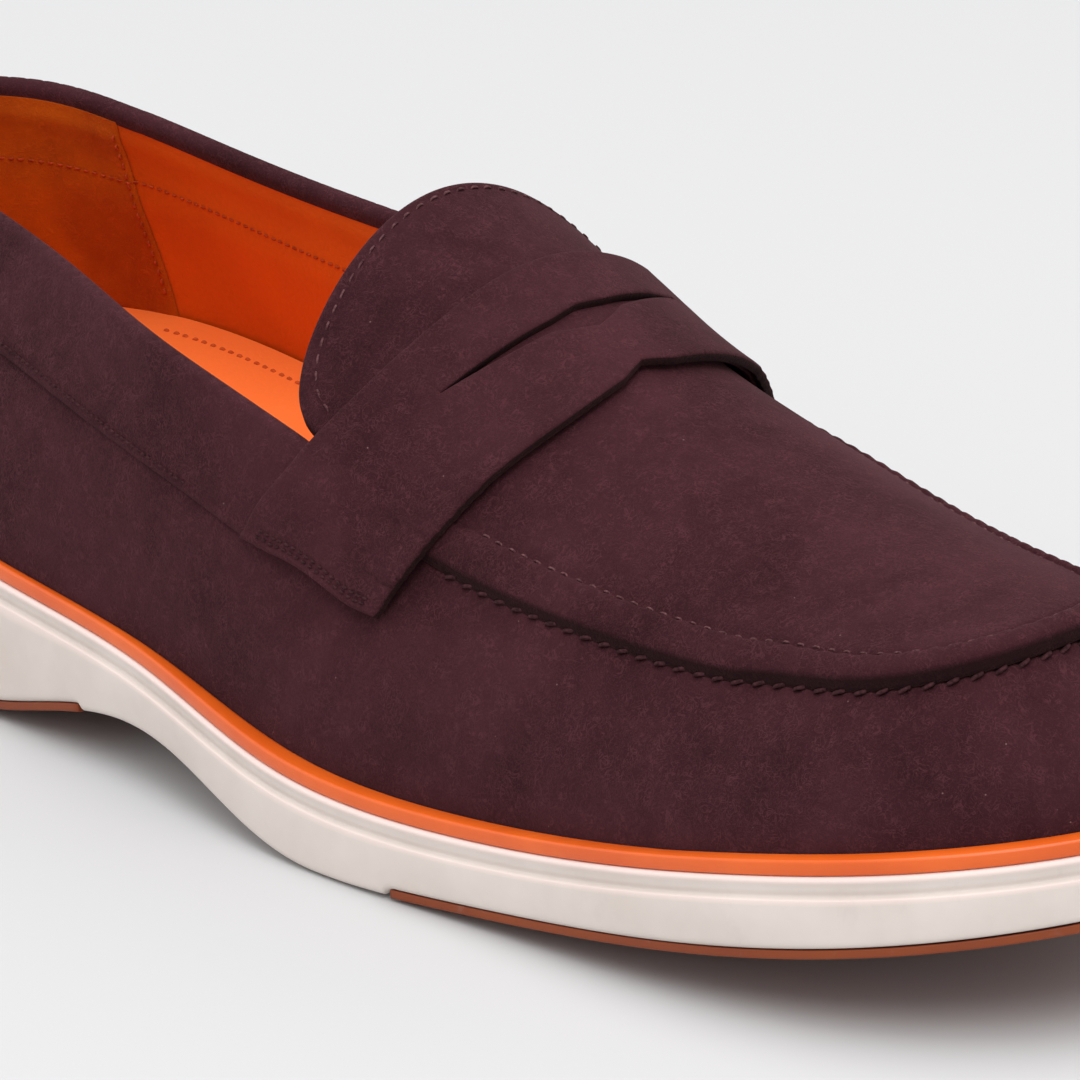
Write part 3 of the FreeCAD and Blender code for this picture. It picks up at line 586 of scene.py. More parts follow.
def edgeRows(foot, out, rows):
    # rows of points round the sole, each given by its inset from the edge and its height
    none = np.zeros(len(foot))
    return np.stack([foot - out * (none + inset)[:, None] + xyz(0.0, 0.0, z) for inset, z in rows], 1)


def buildMidsole():
    # one profile per rib: underside, rounded edge, flat face, moulded lip and top
    angle = np.linspace(0, turn, midsole["count"], endpoint=False)
    foot, out = rib(angle)
    x = foot[:, 0]
    back, front = midsole["padEndHeel"], midsole["padStartFront"]
    window = ease(x, back, back + midsole["windowEdge"]) * (1 - ease(x, front - midsole["windowEdge"], front))
    low = ground(x) + midsole["padThickness"] + (midsole["waistRise"] - midsole["padThickness"]) * window
    high = wallSeat(x)
    centre = np.clip(x, shoe["spineStart"], length - shoe["spineEndFromToe"])
    reach = np.linalg.norm(foot - xyz(centre, 0.0, 0.0), axis=-1)
    rows = []
    for share in np.linspace(1.0, 0.0, 14)[:-1]:
        rows.append((share * (reach - midsole["middleReach"]) + midsole["middleReach"], low))
    radius = midsole["bottomRound"]
    for k in np.linspace(0, math.pi / 2, 6):
        rows.append((radius * (1 - math.sin(k)), low + radius * (1 - math.cos(k))))
    face = low + radius
    step = high - midsole["stepDepth"]
    for share in np.linspace(0, 1, 9)[1:]:
        rows.append((0.0 - midsole["hollow"] * math.sin(math.pi * share), face + (step - face) * share))
    for inset, drop in midsole["lip"]:
        rows.append((inset, high - drop))
    first = midsole["lip"][-1][0]
    for share in np.linspace(0, 1, 8)[1:]:
        rows.append((first + (reach - first) * share, high))
    points = edgeRows(foot, out, rows)
    under = high[:, None] - points[..., 2]
    # painted highlights: a pale pink band just below the welt and a thin pale line on the moulded lip
    paintedLipHighlights = 0.75 * np.exp(-((under - 0.35) / 0.5) ** 2) + 0.45 * np.exp(-((under - 3.5) / 0.22) ** 2)
    faces = bandFaces(*points.shape[:2])
    addMesh("midsole", points, faces, [midsoleFoam], "midsole", ["midsole"], cut=paintedLipHighlights)


tread = {"pitch": 7.0, "depth": 0.7, "wave": 2.2, "waveScale": 5.0,
         "setback": 0.5, "round": 0.45, "gap": 0.02}


def buildPad(name, start, end, count, node):
    # pad: rows along the sole, each a closed ring across it; wavy grooves are cut in its underside
    angle = angleAt(np.linspace(start, end, count)) if start > 1 else np.linspace(0, angleAt(end), count)
    if end > length - 1:
        angle = np.linspace(angleAt(start), math.pi, count)
    across = np.sin(np.linspace(-math.pi / 2, math.pi / 2, 61))
    left, right = planPoint(angle, tread["setback"]), planPoint(turn - angle, tread["setback"])
    mid, half = (left + right) / 2, (right - left) / 2
    bottom = mid[:, None] + half[:, None] * across[None, :, None]
    x, y = bottom[..., 0], bottom[..., 1]
    width = np.linalg.norm(half, axis=-1)[:, None]
    fromEdge = width * (1 - np.abs(across))[None]
    wavy = x + tread["wave"] * np.sin(y / tread["waveScale"])
    groove = ease(np.abs(np.sin(math.pi * wavy / tread["pitch"])), 0.0, 0.35)
    flatRim = ease(fromEdge, 4.0, 5.0) * ease(x, start + 3, start + 4) * (1 - ease(x, end - 4, end - 3))
    near = 1 - np.clip(fromEdge / tread["round"], 0, 1)
    rise = tread["round"] * (1 - np.sqrt(np.clip(1 - near ** 2, 0, 1)))
    top = bottom.copy()
    bottom[..., 2] = ground(x) + rise + tread["depth"] * (1 - groove) * flatRim
    top[..., 2] = ground(x) + midsole["padThickness"] - tread["gap"]
    rings, faces, _, _ = slab(bottom, top, bulge=0.0, rim=2)
    addMesh(name, rings, faces, [padRubber], "outsole", [node])


def buildWelt():
    # closed profile in the foot's ribs: inner foot, rounded outer edge, top
    angle = np.linspace(0, turn, midsole["count"], endpoint=False)
    foot, out = rib(angle)
    x, high = foot[:, 0], seat(foot[:, 0])
    inside = margin(x) - 0.05
    edge = shoe["weltSetback"]
    profile = [(inside, -2.45), (edge + 0.45, -2.45), (edge + 0.12, -2.3), (edge, -2.05), (edge, -1.2),
               (edge + 0.02, -0.5), (edge + 0.10, -0.22), (edge + 0.30, -0.06), (edge + 0.55, 0.0),
               (inside - 0.5, 0.02), (inside, -0.15)]
    points = edgeRows(foot, out, [(inset, high + drop) for inset, drop in profile])
    addMesh("welt", points, ringFaces(len(angle), len(profile), True), [weltRubber], "welt", ["welt"])


buildMidsole()
buildPad("heelPad", 0.0, midsole["padEndHeel"], 150, "outsole_heel")
buildPad("forefootPad", midsole["padStartFront"], length, 190, "outsole_forefoot")
buildWelt()
print("sole unit made")


# footbed and sock

footbed = {
    "thickness": 8.0, "frontThickness": 4.0, "cup": 4.5, "end": 240.0, "board": 2.6, "sock": 1.2, "gap": 0.1,
    # suede, stiffener, lining, their glue lines and the sock's own play, added in this order
    "layers": (1.4, 1.2, 0.9, 0.3, 1.5), "frontInset": 5.0, "foamInset": 0.2,
    "stitchStart": 0.14, "stitchEnd": 0.44, "stitchInset": 5.0, "unevenness": 0.12,
}


def footbedRise(x, y):
    # foam thickness: cupped at its sides, thinner towards the ball
    front = ease(x, 0.36 * length, 0.66 * length)
    side = y / (ballWidth / 2)
    middle = footbed["thickness"] + (footbed["frontThickness"] - footbed["thickness"]) * front
    return middle + footbed["cup"] * (1 - front) * np.minimum(side * side * 1.6, 1.2)


def footbedInset(x):
    # sole edge to the footbed: wall margin, layers of the upper, more towards the toe
    return sum(footbed["layers"], margin(x)) + footbed["frontInset"] * ease(x, 0.42 * length, 0.78 * length)


def bedGrid(height, extra, count=140, columns=61):
    # rows across the footbed at a height above the board
    angle = np.linspace(0, float(angleAt(footbed["end"])), count)
    across = np.sin(np.linspace(-math.pi / 2, math.pi / 2, columns))
    left = planPoint(angle, footbedInset(rib(angle)[0][:, 0]) + extra)
    right = planPoint(turn - angle, footbedInset(rib(angle)[0][:, 0]) + extra)
    grid = (left + right)[:, None] / 2 + (right - left)[:, None] / 2 * across[None, :, None]
    x, y = grid[..., 0], grid[..., 1]
    grid[..., 2] = wallSeat(x) + footbed["board"] + height(x, y)
    return grid


foamTop = bedGrid(footbedRise, footbed["foamInset"])
foamLow = bedGrid(lambda x, y: x * 0 + footbed["gap"], footbed["foamInset"])
rings, faces, _, _ = slab(foamTop, foamLow, bulge=0.0)
foam = addMesh("footbedFoam", rings, faces, [footFoam], "foam", ["footbed_foam"])
sockTop = bedGrid(lambda x, y: footbedRise(x, y) + footbed["gap"] + footbed["sock"], 0.0)
sockTop[..., 2] += waves(sockTop, 40.0, 4) * footbed["unevenness"]
sockLow = bedGrid(lambda x, y: footbedRise(x, y) + footbed["gap"], 0.0)
rings, faces, _, _ = slab(sockTop, sockLow, bulge=0.3)
addMesh("sockLiner", rings, faces, [sockLeather], "sock", ["sock_liner"])

sockAngle = turn - angleAt(np.linspace(footbed["stitchStart"] * length, footbed["stitchEnd"] * length, 300))
sockPath = planPoint(sockAngle, footbedInset(rib(sockAngle)[0][:, 0]) + footbed["stitchInset"])
sockPath[:, 2] = wallSeat(sockPath[:, 0]) + footbed["board"] + footbed["gap"] + footbed["sock"]
sockPath[:, 2] += footbedRise(sockPath[:, 0], sockPath[:, 1])
sockPath[:, 2] += waves(sockPath, 40.0, 4) * footbed["unevenness"]
upwards = np.tile([0.0, 0.0, 1.0], (len(sockPath), 1))
addMesh("sockStitches", *threadRow(sockPath, upwards, 2.1, 1.25, 0.34, 0.1), [holeShade], "lining_thread",
        ["sock_stitches"])
print("footbed made")


# wall of the upper

upper = {"suede": 1.4, "lining": 0.9, "stiffener": 1.2, "gap": 0.1, "pucker": 0.30, "puckerPitch": 3.6,
         "unevenness": 0.30, "count": 1100, "pared": 0.6, "liningSplit": 0.60, "splitGap": 0.5}


def backAngles(x, count):
    # angles round the heel, from the outer side at x to the inner side at x
    return np.linspace(-float(angleAt(x)), float(angleAt(x)), count)


def skive(v):
    # how much thinner the layers are pared towards the topline
    return upper["pared"] * ease(v, 0.90, 0.97)


def liningDepth(v):
    # outer face of the suede to the outer face of the lining
    deep = (upper["stiffener"] + upper["gap"]) * (1 - ease(v, 0.62, 0.86))
    return upper["suede"] + upper["gap"] + deep - skive(v)


seamAngles = np.linspace(0, turn, upper["count"], endpoint=False)
seamRun = lengthAlong(wallTop(seamAngles))


def buildWall():
    # suede wall: the base surface with uneven leather, puckers under the apron's seam and tucked ends
    v = np.concatenate([np.linspace(0, 0.05, 6)[:-1], np.linspace(0.05, 0.86, 34)[:-1],
                        np.linspace(0.86, 1.0, 20)])
    angle, v = seamAngles[:, None], v[None, :]
    x = rib(seamAngles)[0][:, 0][:, None]
    front = ease(x, 0.56 * length, 0.62 * length)
    ripple = np.cos(turn * seamRun[:, None] / upper["puckerPitch"])
    pucker = upper["pucker"] * front * ease(v, 0.90, 0.985) * ripple
    tuck = -0.45 * (1 - ease(v, 0.0, 0.02)) - 0.5 * front * ease(v, 0.955, 1.0)
    base = wall(angle, v)
    uneven = upper["unevenness"] * waves(base, 46.0, 7) * ease(v, 0.03, 0.2) * (1 - ease(v, 0.8, 0.95))
    outer = base + wallNormal(angle, v) * (pucker + tuck + uneven)[..., None]
    inner = wall(angle, v[:, ::6], skive(v[:, ::6]) - upper["suede"])
    pick = np.linspace(0, inner.shape[1] - 1, outer.shape[1])
    low = np.floor(pick).astype(int)
    high = np.minimum(low + 1, inner.shape[1] - 1)
    inner = inner[:, low] * (1 - (pick - low))[None, :, None] + inner[:, high] * (pick - low)[None, :, None]
    rings, faces, m, rim = slab(outer, inner, closed=True, bulge=0.2)
    # the wall's top edge at the front darkened: a cut edge, with painted shade under the apron's rim
    cut = np.zeros(rings.shape[:2])
    cut[:, m - 2:m + rim] = 0.85 * front
    addMesh("wallSuede", rings, faces, [suede], "suede", ["vamp_wall"], cut=cut)


buildWall()


def buildLining(name, angles, top, count, slot, node):
    # lining: the wall moved inwards past the suede and the stiffener
    a, v = angles[:, None], np.linspace(0, top, count)[None, :]
    rings, faces, _, _ = slab(wall(a, v, -liningDepth(v)), wall(a, v, -liningDepth(v) - upper["lining"]))
    addMesh(name, rings, faces, [lining], slot, [node])


split = upper["liningSplit"] * length
frontStart = float(angleAt(split + upper["splitGap"]))
buildLining("quarterLining", backAngles(split, 420), 1.0, 40, "lining", "quarter_lining")
buildLining("vampLining", np.linspace(frontStart, turn - frontStart, 200), 0.9, 20, "textile", "vamp_lining")

grip = {"outerX": 34.0, "innerX": 33.5, "low": 0.24, "high": 0.978, "thickness": 0.7, "sweep": 9.5,
        "stitchLow": 0.32, "stitchHigh": 0.94, "stitchIn": 0.011}


def gripFrontAngle(v, side):
    # the grip's front edge runs forwards towards the sock
    x = (grip["innerX"] if side > 0 else grip["outerX"]) + grip["sweep"] * (0.9 - v)
    return side * angleAt(x)


def buildGrip():
    # heel grip: a sheet on the lining whose thickness fades out at its edges, with its two stitch rows
    v = np.linspace(grip["low"], grip["high"], 40)[None, :]
    share = np.linspace(0, 1, 200)[:, None]
    start, end = -gripFrontAngle(v, 1), -gripFrontAngle(v, -1)
    angle = start + (end - start) * share
    face = liningDepth(v) + upper["lining"] + upper["gap"]
    edge = ease(share, 0.0, 0.008) * (1 - ease(share, 0.992, 1.0))
    outer = wall(angle, v, -face + share * 0)
    thinned = (0.25 + 0.75 * edge) * (1 - 0.75 * ease(v, 0.92, 0.975))
    inner = wall(angle, v, -face - grip["thickness"] * thinned)
    rings, faces, _, _ = slab(inner, outer, bulge=0.15)
    addMesh("heelGrip", rings, faces, [heelLining], "grip", ["heel_grip"])
    rows = []
    for side in (-1, 1):
        line = np.linspace(grip["stitchLow"], grip["stitchHigh"], 160)
        angle = -gripFrontAngle(line, side) + side * grip["stitchIn"]
        offset = -(liningDepth(line) + upper["lining"] + upper["gap"] + grip["thickness"])
        inwards = -wallNormal(angle, line)
        rows.append(threadRow(wall(angle, line, offset), inwards, 1.7, 1.2, 0.24, 0.4, seed=5))
    return rows


gripRows = buildGrip()


def downWall(angle, distance):
    # share of the wall's height at a distance below its top
    v = np.linspace(1.0, 0.3, 140)
    strip = wallBase(angle[:, None], v[None, :])
    steps = np.linalg.norm(np.diff(strip, axis=1), axis=-1)
    run = np.concatenate([np.zeros((len(angle), 1)), np.cumsum(steps, 1)], 1)
    distance = np.broadcast_to(distance, angle.shape)
    return np.array([np.interp(d, r, v) for d, r in zip(distance, run)])


collar = {"width": 17.0, "band": 1.0, "roll": 1.65, "turnIn": 1.3, "stitchIn": 1.5, "end": 0.512,
          "taper": 7.5, "nickPitch": 2.9, "nickDepth": 0.42, "rollSheet": 0.75,
          "liningEnd": 0.485, "liningDown": 11.5, "gripEnd": 35.0}


def buildCollar():
    # one strip of suede: up the outside, round the topline and a little way down the inside
    angle = backAngles(collar["end"] * length, 760)
    end = collar["end"] * length
    tapered = collar["width"] * (1 - 0.5 * ease(rib(angle)[0][:, 0], end - collar["taper"], end))
    low = downWall(angle, tapered)
    v = low[:, None] + (0.985 - low[:, None]) * np.linspace(0, 1, 26)[None, :] ** 0.9
    face = collar["band"] + upper["gap"]
    fromEdge = (v - low[:, None]) * (tapered / (1 - low))[:, None]
    lift = face * (0.55 + 0.45 * np.sqrt(np.clip(fromEdge / 0.7, 0, 1)))
    lift = lift - 0.28 * np.exp(-((fromEdge - collar["stitchIn"]) / 0.45) ** 2)
    lift = lift + 0.35 * ease(v, 0.80, 0.95) * (1 - ease(v, 0.96, 1.0))
    outer = wall(angle[:, None], v, lift)
    outer = outer + wallNormal(angle[:, None], v) * (0.18 * waves(outer, 30.0, 12))[..., None]
    inner = wall(angle[:, None], v, upper["gap"] * 0.5)
    top = wall(angle, np.ones_like(angle), (face - upper["suede"] - upper["lining"] + 0.6) / 2)
    out = wallNormal(angle, np.ones_like(angle))
    up = unit(wall(angle, np.ones_like(angle), 0.0) - wall(angle, np.full_like(angle, 0.97), 0.0))
    up = unit(up - out * np.sum(up * out, -1, keepdims=True))
    run = lengthAlong(top)
    sweep = np.linspace(0.0, math.pi, 22)
    phase = np.mod(run[:, None] + sweep[None] * 1.6, collar["nickPitch"])
    nick = collar["nickDepth"] * np.exp(-((phase - 1.4) / 0.28) ** 2)
    nick = nick * np.exp(-((sweep - 1.2) / 0.34) ** 2)[None]
    roll = collar["roll"] - nick
    down = up[:, None] * np.linspace(0.3, collar["turnIn"], 4)[None, :, None]

    def rolled(radius):
        # half a turn round the topline, then a short straight tail down the inside
        arc = out[:, None] * (radius * np.cos(sweep))[..., None]
        arc = arc + up[:, None] * (radius * np.sin(sweep))[..., None]
        return [top[:, None] + arc, top[:, None] + (-out[:, None] * radius[:, -1:, None] - down)]

    small = np.full_like(roll, collar["roll"] - collar["rollSheet"])
    outer = np.concatenate([outer[:, :-1]] + rolled(roll), 1)
    inner = np.concatenate([inner[:, :-1]] + rolled(small), 1)
    rings, faces, m, rim = slab(outer, inner, bulge=0.15)
    # the band's lower edge darkened: a cut edge, with painted shade under the band's step
    cut = np.zeros(rings.shape[:2])
    cut[:, -rim:] = 0.8
    addMesh("collarSuede", rings, faces, [suede], "suede", ["collar_band", "topline_binding"], cut=cut)
    shorter = angle[40:-40]
    at = downWall(shorter, collar["width"] - collar["stitchIn"])
    path = wall(shorter, at, face - 0.2)
    return threadRow(path, wallNormal(shorter, at), 1.45, 1.05, 0.21, 0.5, seed=2)


addMesh("collarStitches", *buildCollar(), [tonalThread], "thread", ["collar_stitches"])

liningAngle = backAngles(collar["liningEnd"] * length, 600)
liningV = downWall(liningAngle, collar["liningDown"])
onGrip = np.where(np.abs(liningAngle) < angleAt(collar["gripEnd"]), grip["thickness"] + upper["gap"], 0.0)
liningPath = wall(liningAngle, liningV, -liningDepth(liningV) - upper["lining"] - onGrip)
gripRows.append(threadRow(liningPath, -wallNormal(liningAngle, liningV), 1.65, 1.2, 0.22, 0.4, seed=3))
addMesh("liningStitches", *joinRows(gripRows), [orangeThread], "lining_thread", ["lining_stitches"])
print("upper made")


# apron with its tongue

apron = {"thickness": 2.6, "overhang": 1.0, "tongueTip": 140.8, "tongueHalf": 33.8, "tongueRound": 11.0,
         "join": 0.56, "gap": 0.1, "crease": 3.8, "tongueCrease": 1.9, "creaseDepth": 0.6,
         "shoulder": 1.1, "skirt": 1.1, "bulge": 0.5, "count": 1000,
         "middleBack": 172.0, "middleFront": 226.0, "rimWidth": 7.6, "lining": 0.9, "liningInset": 3.6,
         # depths from the rim at which it is sampled
         "depths": (0.0, 0.06, 0.2, 0.42, 0.7, 1.0, 1.4, 1.9, 2.4, 2.8, 3.1, 3.3, 3.5, 3.7, 3.9, 4.2, 4.6,
                    5.1, 5.8, 6.6, 7.6)}


def apronOutline(shrink, count):
    # plan outline of the apron and tongue, a closed curve through its corners, evenly spaced
    join = float(angleAt(apron["join"] * length))
    a = np.linspace(join, turn - join, 41)
    top = wallTop(a) + rib(a)[1] * (apron["overhang"] - shrink)
    t = np.linspace(math.pi / 2, -math.pi / 2, 17)
    side = np.sign(np.sin(t)) * np.abs(np.sin(t)) ** 0.5
    back = apron["tongueTip"] + shrink + apron["tongueRound"] * (1 - np.abs(np.cos(t)) ** 0.5)
    tongue = xyz(back, shoe["ridgeYBack"] + (apron["tongueHalf"] - shrink) * side, 0.0)
    points = np.concatenate([top, tongue])[:, :2]
    step = np.linalg.norm(np.roll(points, -1, 0) - points, axis=-1)
    where = np.concatenate([[0.0], np.cumsum(step)])[:-1]
    whole = step.sum()
    curves = [naturalCurve([(w + k * whole, p) for k in (-1, 0, 1) for w, p in zip(where, points[:, axis])])
              for axis in (0, 1)]
    dense = np.linspace(0, whole, 6000)
    track = np.stack([curve(dense) for curve in curves], -1)
    run = lengthAlong(track)
    even = np.linspace(0, run[-1], count, endpoint=False)
    return xyz(np.interp(even, run, track[:, 0]), np.interp(even, run, track[:, 1]), 0.0)


def apronMiddle(edge):
    # nearest point of the middle line for each point of the outline
    x = np.clip(edge[:, 0], apron["middleBack"], apron["middleFront"])
    return xyz(x, ridgeY(x), 0.0)


def buildApron():
    # rounded rim, raised edge, crease and swelling as heights over the crown, by the depth from the rim
    edge = apronOutline(0.0, apron["count"])
    centre = apronMiddle(edge)
    reach = np.linalg.norm(edge - centre, axis=-1)
    inward = unit(centre - edge)
    smoothed = sum(np.roll(inward, k, 0) for k in range(-12, 13)) / 25
    inward = unit(smoothed)
    isFront = ease(edge[:, 0], 0.55 * length, 0.62 * length)[:, None]
    depths = np.concatenate([apron["depths"], [0.0] * 26])
    share = np.concatenate([np.zeros(len(apron["depths"])), np.linspace(0, 1, 27)[1:]])
    inset = depths[None, :] * np.ones_like(reach)[:, None]
    start = edge + inward * apron["rimWidth"]
    flatPoints = edge[:, None] + inward[:, None] * inset[..., None]
    far = start[:, None] + (centre - start)[:, None] * share[None, :, None]
    plan = np.where((share > 0)[None, :, None], far, flatPoints)
    inset = np.where((share > 0)[None, :], apron["rimWidth"] + share[None, :] * 12, inset)
    x, y = plan[..., 0], plan[..., 1]
    shoulder = np.sqrt(np.clip(1 - (1 - np.clip(inset / apron["shoulder"], 0, 1)) ** 2, 0, 1))
    height = apron["gap"] + apron["thickness"] - apron["shoulder"] * (1 - shoulder)
    line = apron["tongueCrease"] + (apron["crease"] - apron["tongueCrease"]) * isFront
    crease = np.exp(-((inset - line) / (0.35 + 0.15 * isFront)) ** 2)
    height = height - (0.2 + (apron["creaseDepth"] - 0.2) * isFront) * crease
    height = height + apron["bulge"] * isFront * np.exp(-((inset - 2.2) / 1.2) ** 2)
    height = height - 0.25 * isFront * ease(inset, 3.6, 4.6) * (1 - ease(inset, 6.0, 14.0))
    run = lengthAlong(edge)[:, None]
    ripple = np.sin(run * turn / upper["puckerPitch"])
    height = height + 0.12 * isFront * ripple * np.exp(-((inset - 2.6) / 1.6) ** 2)
    height = height + 0.28 * waves(plan, 42.0, 21) * ease(inset, 2.0, 12.0)
    top = xyz(x, y, crown(x, y) + height)
    lowPlan = plan + inward[:, None] * (0.35 * np.exp(-inset / 1.0))[..., None]
    bottom = xyz(lowPlan[..., 0], lowPlan[..., 1], crown(lowPlan[..., 0], lowPlan[..., 1]) + apron["gap"])
    bottom[..., 2] -= apron["skirt"] * isFront * np.exp(-(inset / 0.8) ** 2)
    sides = [bottom[:, 0] + (top[:, 0] - bottom[:, 0]) * k for k in (0.25, 0.5, 0.75)]
    ring = np.concatenate([bottom[:, ::-1], np.stack(sides, 1), top], 1)
    # the rim's side darkened as a cut edge with painted shade, the underside with painted shade, and the top
    # of the rim a little with painted shade
    cut = np.zeros(ring.shape[:2])
    columns = bottom.shape[1]
    cut[:, columns - 1:columns + 3] = 0.8
    cut[:, columns + 3] = 0.3
    cut[:, :columns - 1] = 0.5
    faces = bandFaces(*ring.shape[:2])
    addMesh("apronSuede", ring, faces, [suede], "suede", ["apron"], cut=cut)


def buildApronLining():
    # even sheet under the crown, inside the seam
    edge = apronOutline(apron["liningInset"], 300)
    plan = edge[:, None] + (apronMiddle(edge) - edge)[:, None] * np.linspace(0, 1, 14)[None, :, None]
    top = xyz(plan[..., 0], plan[..., 1], crown(plan[..., 0], plan[..., 1]))
    ring = np.concatenate([(top - [0.0, 0.0, apron["lining"]])[:, ::-1], top], 1)
    addMesh("apronLining", ring, bandFaces(*ring.shape[:2]), [lining], "textile", ["apron_lining"])


def underStrap(p):
    # True where the strap hides the apron's stitches
    return (p[:, 0] > 0.505 * length) & (p[:, 0] < 0.615 * length) & (np.abs(p[:, 1] - ridgeY(p[:, 0])) < 60)


def buildApronStitches():
    # one row in the crease, and slanted whip stitches over the seam of the wall
    edge, path = apronOutline(apron["tongueCrease"], 2400), apronOutline(apron["crease"], 2400)
    isFront = ease(path[:, 0], 0.55 * length, 0.62 * length)[:, None]
    path = edge * (1 - isFront) + path * isFront
    path[:, 2] = crown(path[:, 0], path[:, 1]) + apron["gap"] + apron["thickness"]
    path[:, 2] -= 0.12 + 0.56 * isFront[:, 0]
    up = np.tile([0.0, 0.0, 1.0], (len(path), 1))
    row = threadRow(path, up, 2.8, 1.7, 0.21, 0.7, skip=underStrap, seed=6)
    addMesh("apronStitches", *row, [paleThread], "thread", ["apron_stitches"])
    first = float(angleAt(upper["liningSplit"] * length))
    angle = np.linspace(first, turn - first, 1200)
    path = wall(angle, np.full_like(angle, 0.972), 0.0)
    out = unit(rib(angle)[1] + [0, 0, 0.6])
    row = threadRow(path, out, upper["puckerPitch"], 2.6, 0.36, 0.6, slant=-0.30, seed=8)
    addMesh("seamStitches", *row, [tonalThread], "thread", ["seam_stitches"])


buildApron()
buildApronLining()
buildApronStitches()
print("apron made")


# strap

strap = {
    "rear": ((0.0, 161.5), (0.25, 159.5), (0.50, 152.0), (0.82, 143.0)),
    "front": ((0.0, 189.5), (0.20, 189.0), (0.36, 184.5), (0.50, 179.5), (0.82, 171.5)),
    "endRear": 0.77, "endFront": 0.72, "notchDepth": 1.6, "notchReach": 0.07,
    "slotReach": 0.31, "slotTip": 168.0, "rearBow": 5.0,
    "frontBow": 7.5, "frontPoint": 3.5, "pointReach": 0.09,
    "thickness": 1.6, "backing": 0.5, "lift": 1.1, "gap": 0.1, "settle": 0.9,
    "width": 29.0, "halfLength": 72.0, "rowsFromEnd": (2.2, 3.7),
}
strapRear, strapFront = naturalCurve(strap["rear"]), naturalCurve(strap["front"])


def strapPoint(share, side, offset):
    # share 0 at the rear edge to 1 at the front edge, side -1 to 1 round the instep
    share, side = np.broadcast_arrays(np.asarray(share, float), np.asarray(side, float))
    reach = np.abs(side) * (strap["endRear"] + (strap["endFront"] - strap["endRear"]) * share)
    notch = strap["notchDepth"] * np.maximum(1 - reach / strap["notchReach"], 0.0)
    rear, front = strapRear(reach), strapFront(reach) - notch
    drop = strap["settle"] * ease(np.abs(side), 0.84, 1.0)
    return hull(rear + (front - rear) * share, np.sign(side) * reach, offset - drop)


def buildStrap():
    # two panels, behind and before the slot, that share their ends; the slot's lips are parabolas
    middle = strap["endRear"] * 0.6 + strap["endFront"] * 0.4
    tip = strap["slotReach"] / middle
    slot = tip * np.sin(np.linspace(-math.pi / 2, math.pi / 2, 91))
    side = np.concatenate([np.linspace(-1, -tip, 70)[:-1], slot, np.linspace(tip, 1, 70)[1:]])
    reach = np.minimum(np.abs(side) * middle, strap["slotReach"])
    q = reach / strap["slotReach"]
    lipRear = strap["slotTip"] + strap["rearBow"] * (1 - q * q)
    point = strap["frontPoint"] * np.maximum(1 - reach / strap["pointReach"], 0.0)
    lipFront = strap["slotTip"] + strap["frontBow"] * (1 - q * q) + point
    rear, front = strapRear(reach), strapFront(reach)
    shareRear, shareFront = (lipRear - rear) / (front - rear), (lipFront - rear) / (front - rear)
    t = 0.5 - 0.5 * np.cos(np.linspace(0, math.pi, 20))
    t = t[:, None]
    share = np.concatenate([t * shareRear[None], shareFront[None] + t * (1 - shareFront)[None]])
    sides = np.broadcast_to(side, share.shape)
    edge = np.minimum(share, 1 - share) * strap["width"]
    reachAll = np.abs(sides) * middle
    inSlot = reachAll < strap["slotReach"] - 1e-6
    slotGap = np.minimum(np.abs(share - shareRear), np.abs(share - shareFront)) * strap["width"]
    edge = np.where(inSlot, np.minimum(edge, slotGap), edge)
    fromEnd = (1 - np.abs(sides)) * strap["halfLength"]
    edge = np.minimum(edge, fromEnd)
    base = strap["lift"] + strap["backing"] + strap["gap"]
    rounded = 0.35 * (1 - np.sqrt(np.clip(1 - (1 - np.clip(edge / 0.8, 0, 1)) ** 2, 0, 1)))
    valley = 0.22 * sum(np.exp(-((fromEnd - row) / 0.5) ** 2) for row in strap["rowsFromEnd"])
    low = strapPoint(share, sides, base)
    soft = 0.22 * waves(low, 26.0, 31) * ease(edge, 0.5, 5.0)
    high = strapPoint(share, sides, base + strap["thickness"] - rounded - valley + soft)
    n, m = share.shape
    half = n // 2
    points = np.concatenate([high.reshape(-1, 3), low.reshape(-1, 3)])
    rowStarts = np.concatenate([np.arange(half - 1), np.arange(half, n - 1)])
    columns = np.arange(m - 1)
    i, j = rowStarts[:, None], columns[None, :]
    top = np.stack([i * m + j, (i + 1) * m + j, (i + 1) * m + j + 1, i * m + j + 1], -1).reshape(-1, 4)
    below = n * m

    def upright(a, b):
        # wall between two lines of the upper sheet and the lower one
        return np.stack([a, b, b + below, a + below], -1).reshape(-1, 4)

    slotColumns = columns[(np.abs((side[:-1] + side[1:]) / 2) * middle) < strap["slotReach"]]
    lastRow, rearLip, frontLip = (n - 1) * m + columns, (half - 1) * m + slotColumns, half * m + slotColumns
    rows, after = rowStarts * m, (rowStarts + 1) * m
    walls = np.concatenate([upright(columns, columns + 1), upright(lastRow + 1, lastRow),
                            upright(rearLip + 1, rearLip), upright(frontLip, frontLip + 1),
                            upright(after, rows), upright(rows + m - 1, after + m - 1)])
    faces = np.concatenate([top, top[:, ::-1] + below, walls])
    marks = np.concatenate([np.zeros(len(top)), np.ones(len(top)), np.ones(len(walls))])
    addMesh("strapSuede", points, faces, [suede, suedeEdge], "suede", ["penny_strap"], marks=marks)


buildStrap()
backShare = np.linspace(0.05, 0.95, 24)[:, None]
backSide = np.linspace(-0.95, 0.95, 120)[None, :]
backHigh = strapPoint(backShare, backSide, strap["lift"] + strap["backing"])
backLow = strapPoint(backShare, backSide, strap["lift"])
rings, faces, _, _ = slab(backHigh, backLow)
addMesh("strapBacking", rings, faces, [suede], "suede", ["strap_backing"])

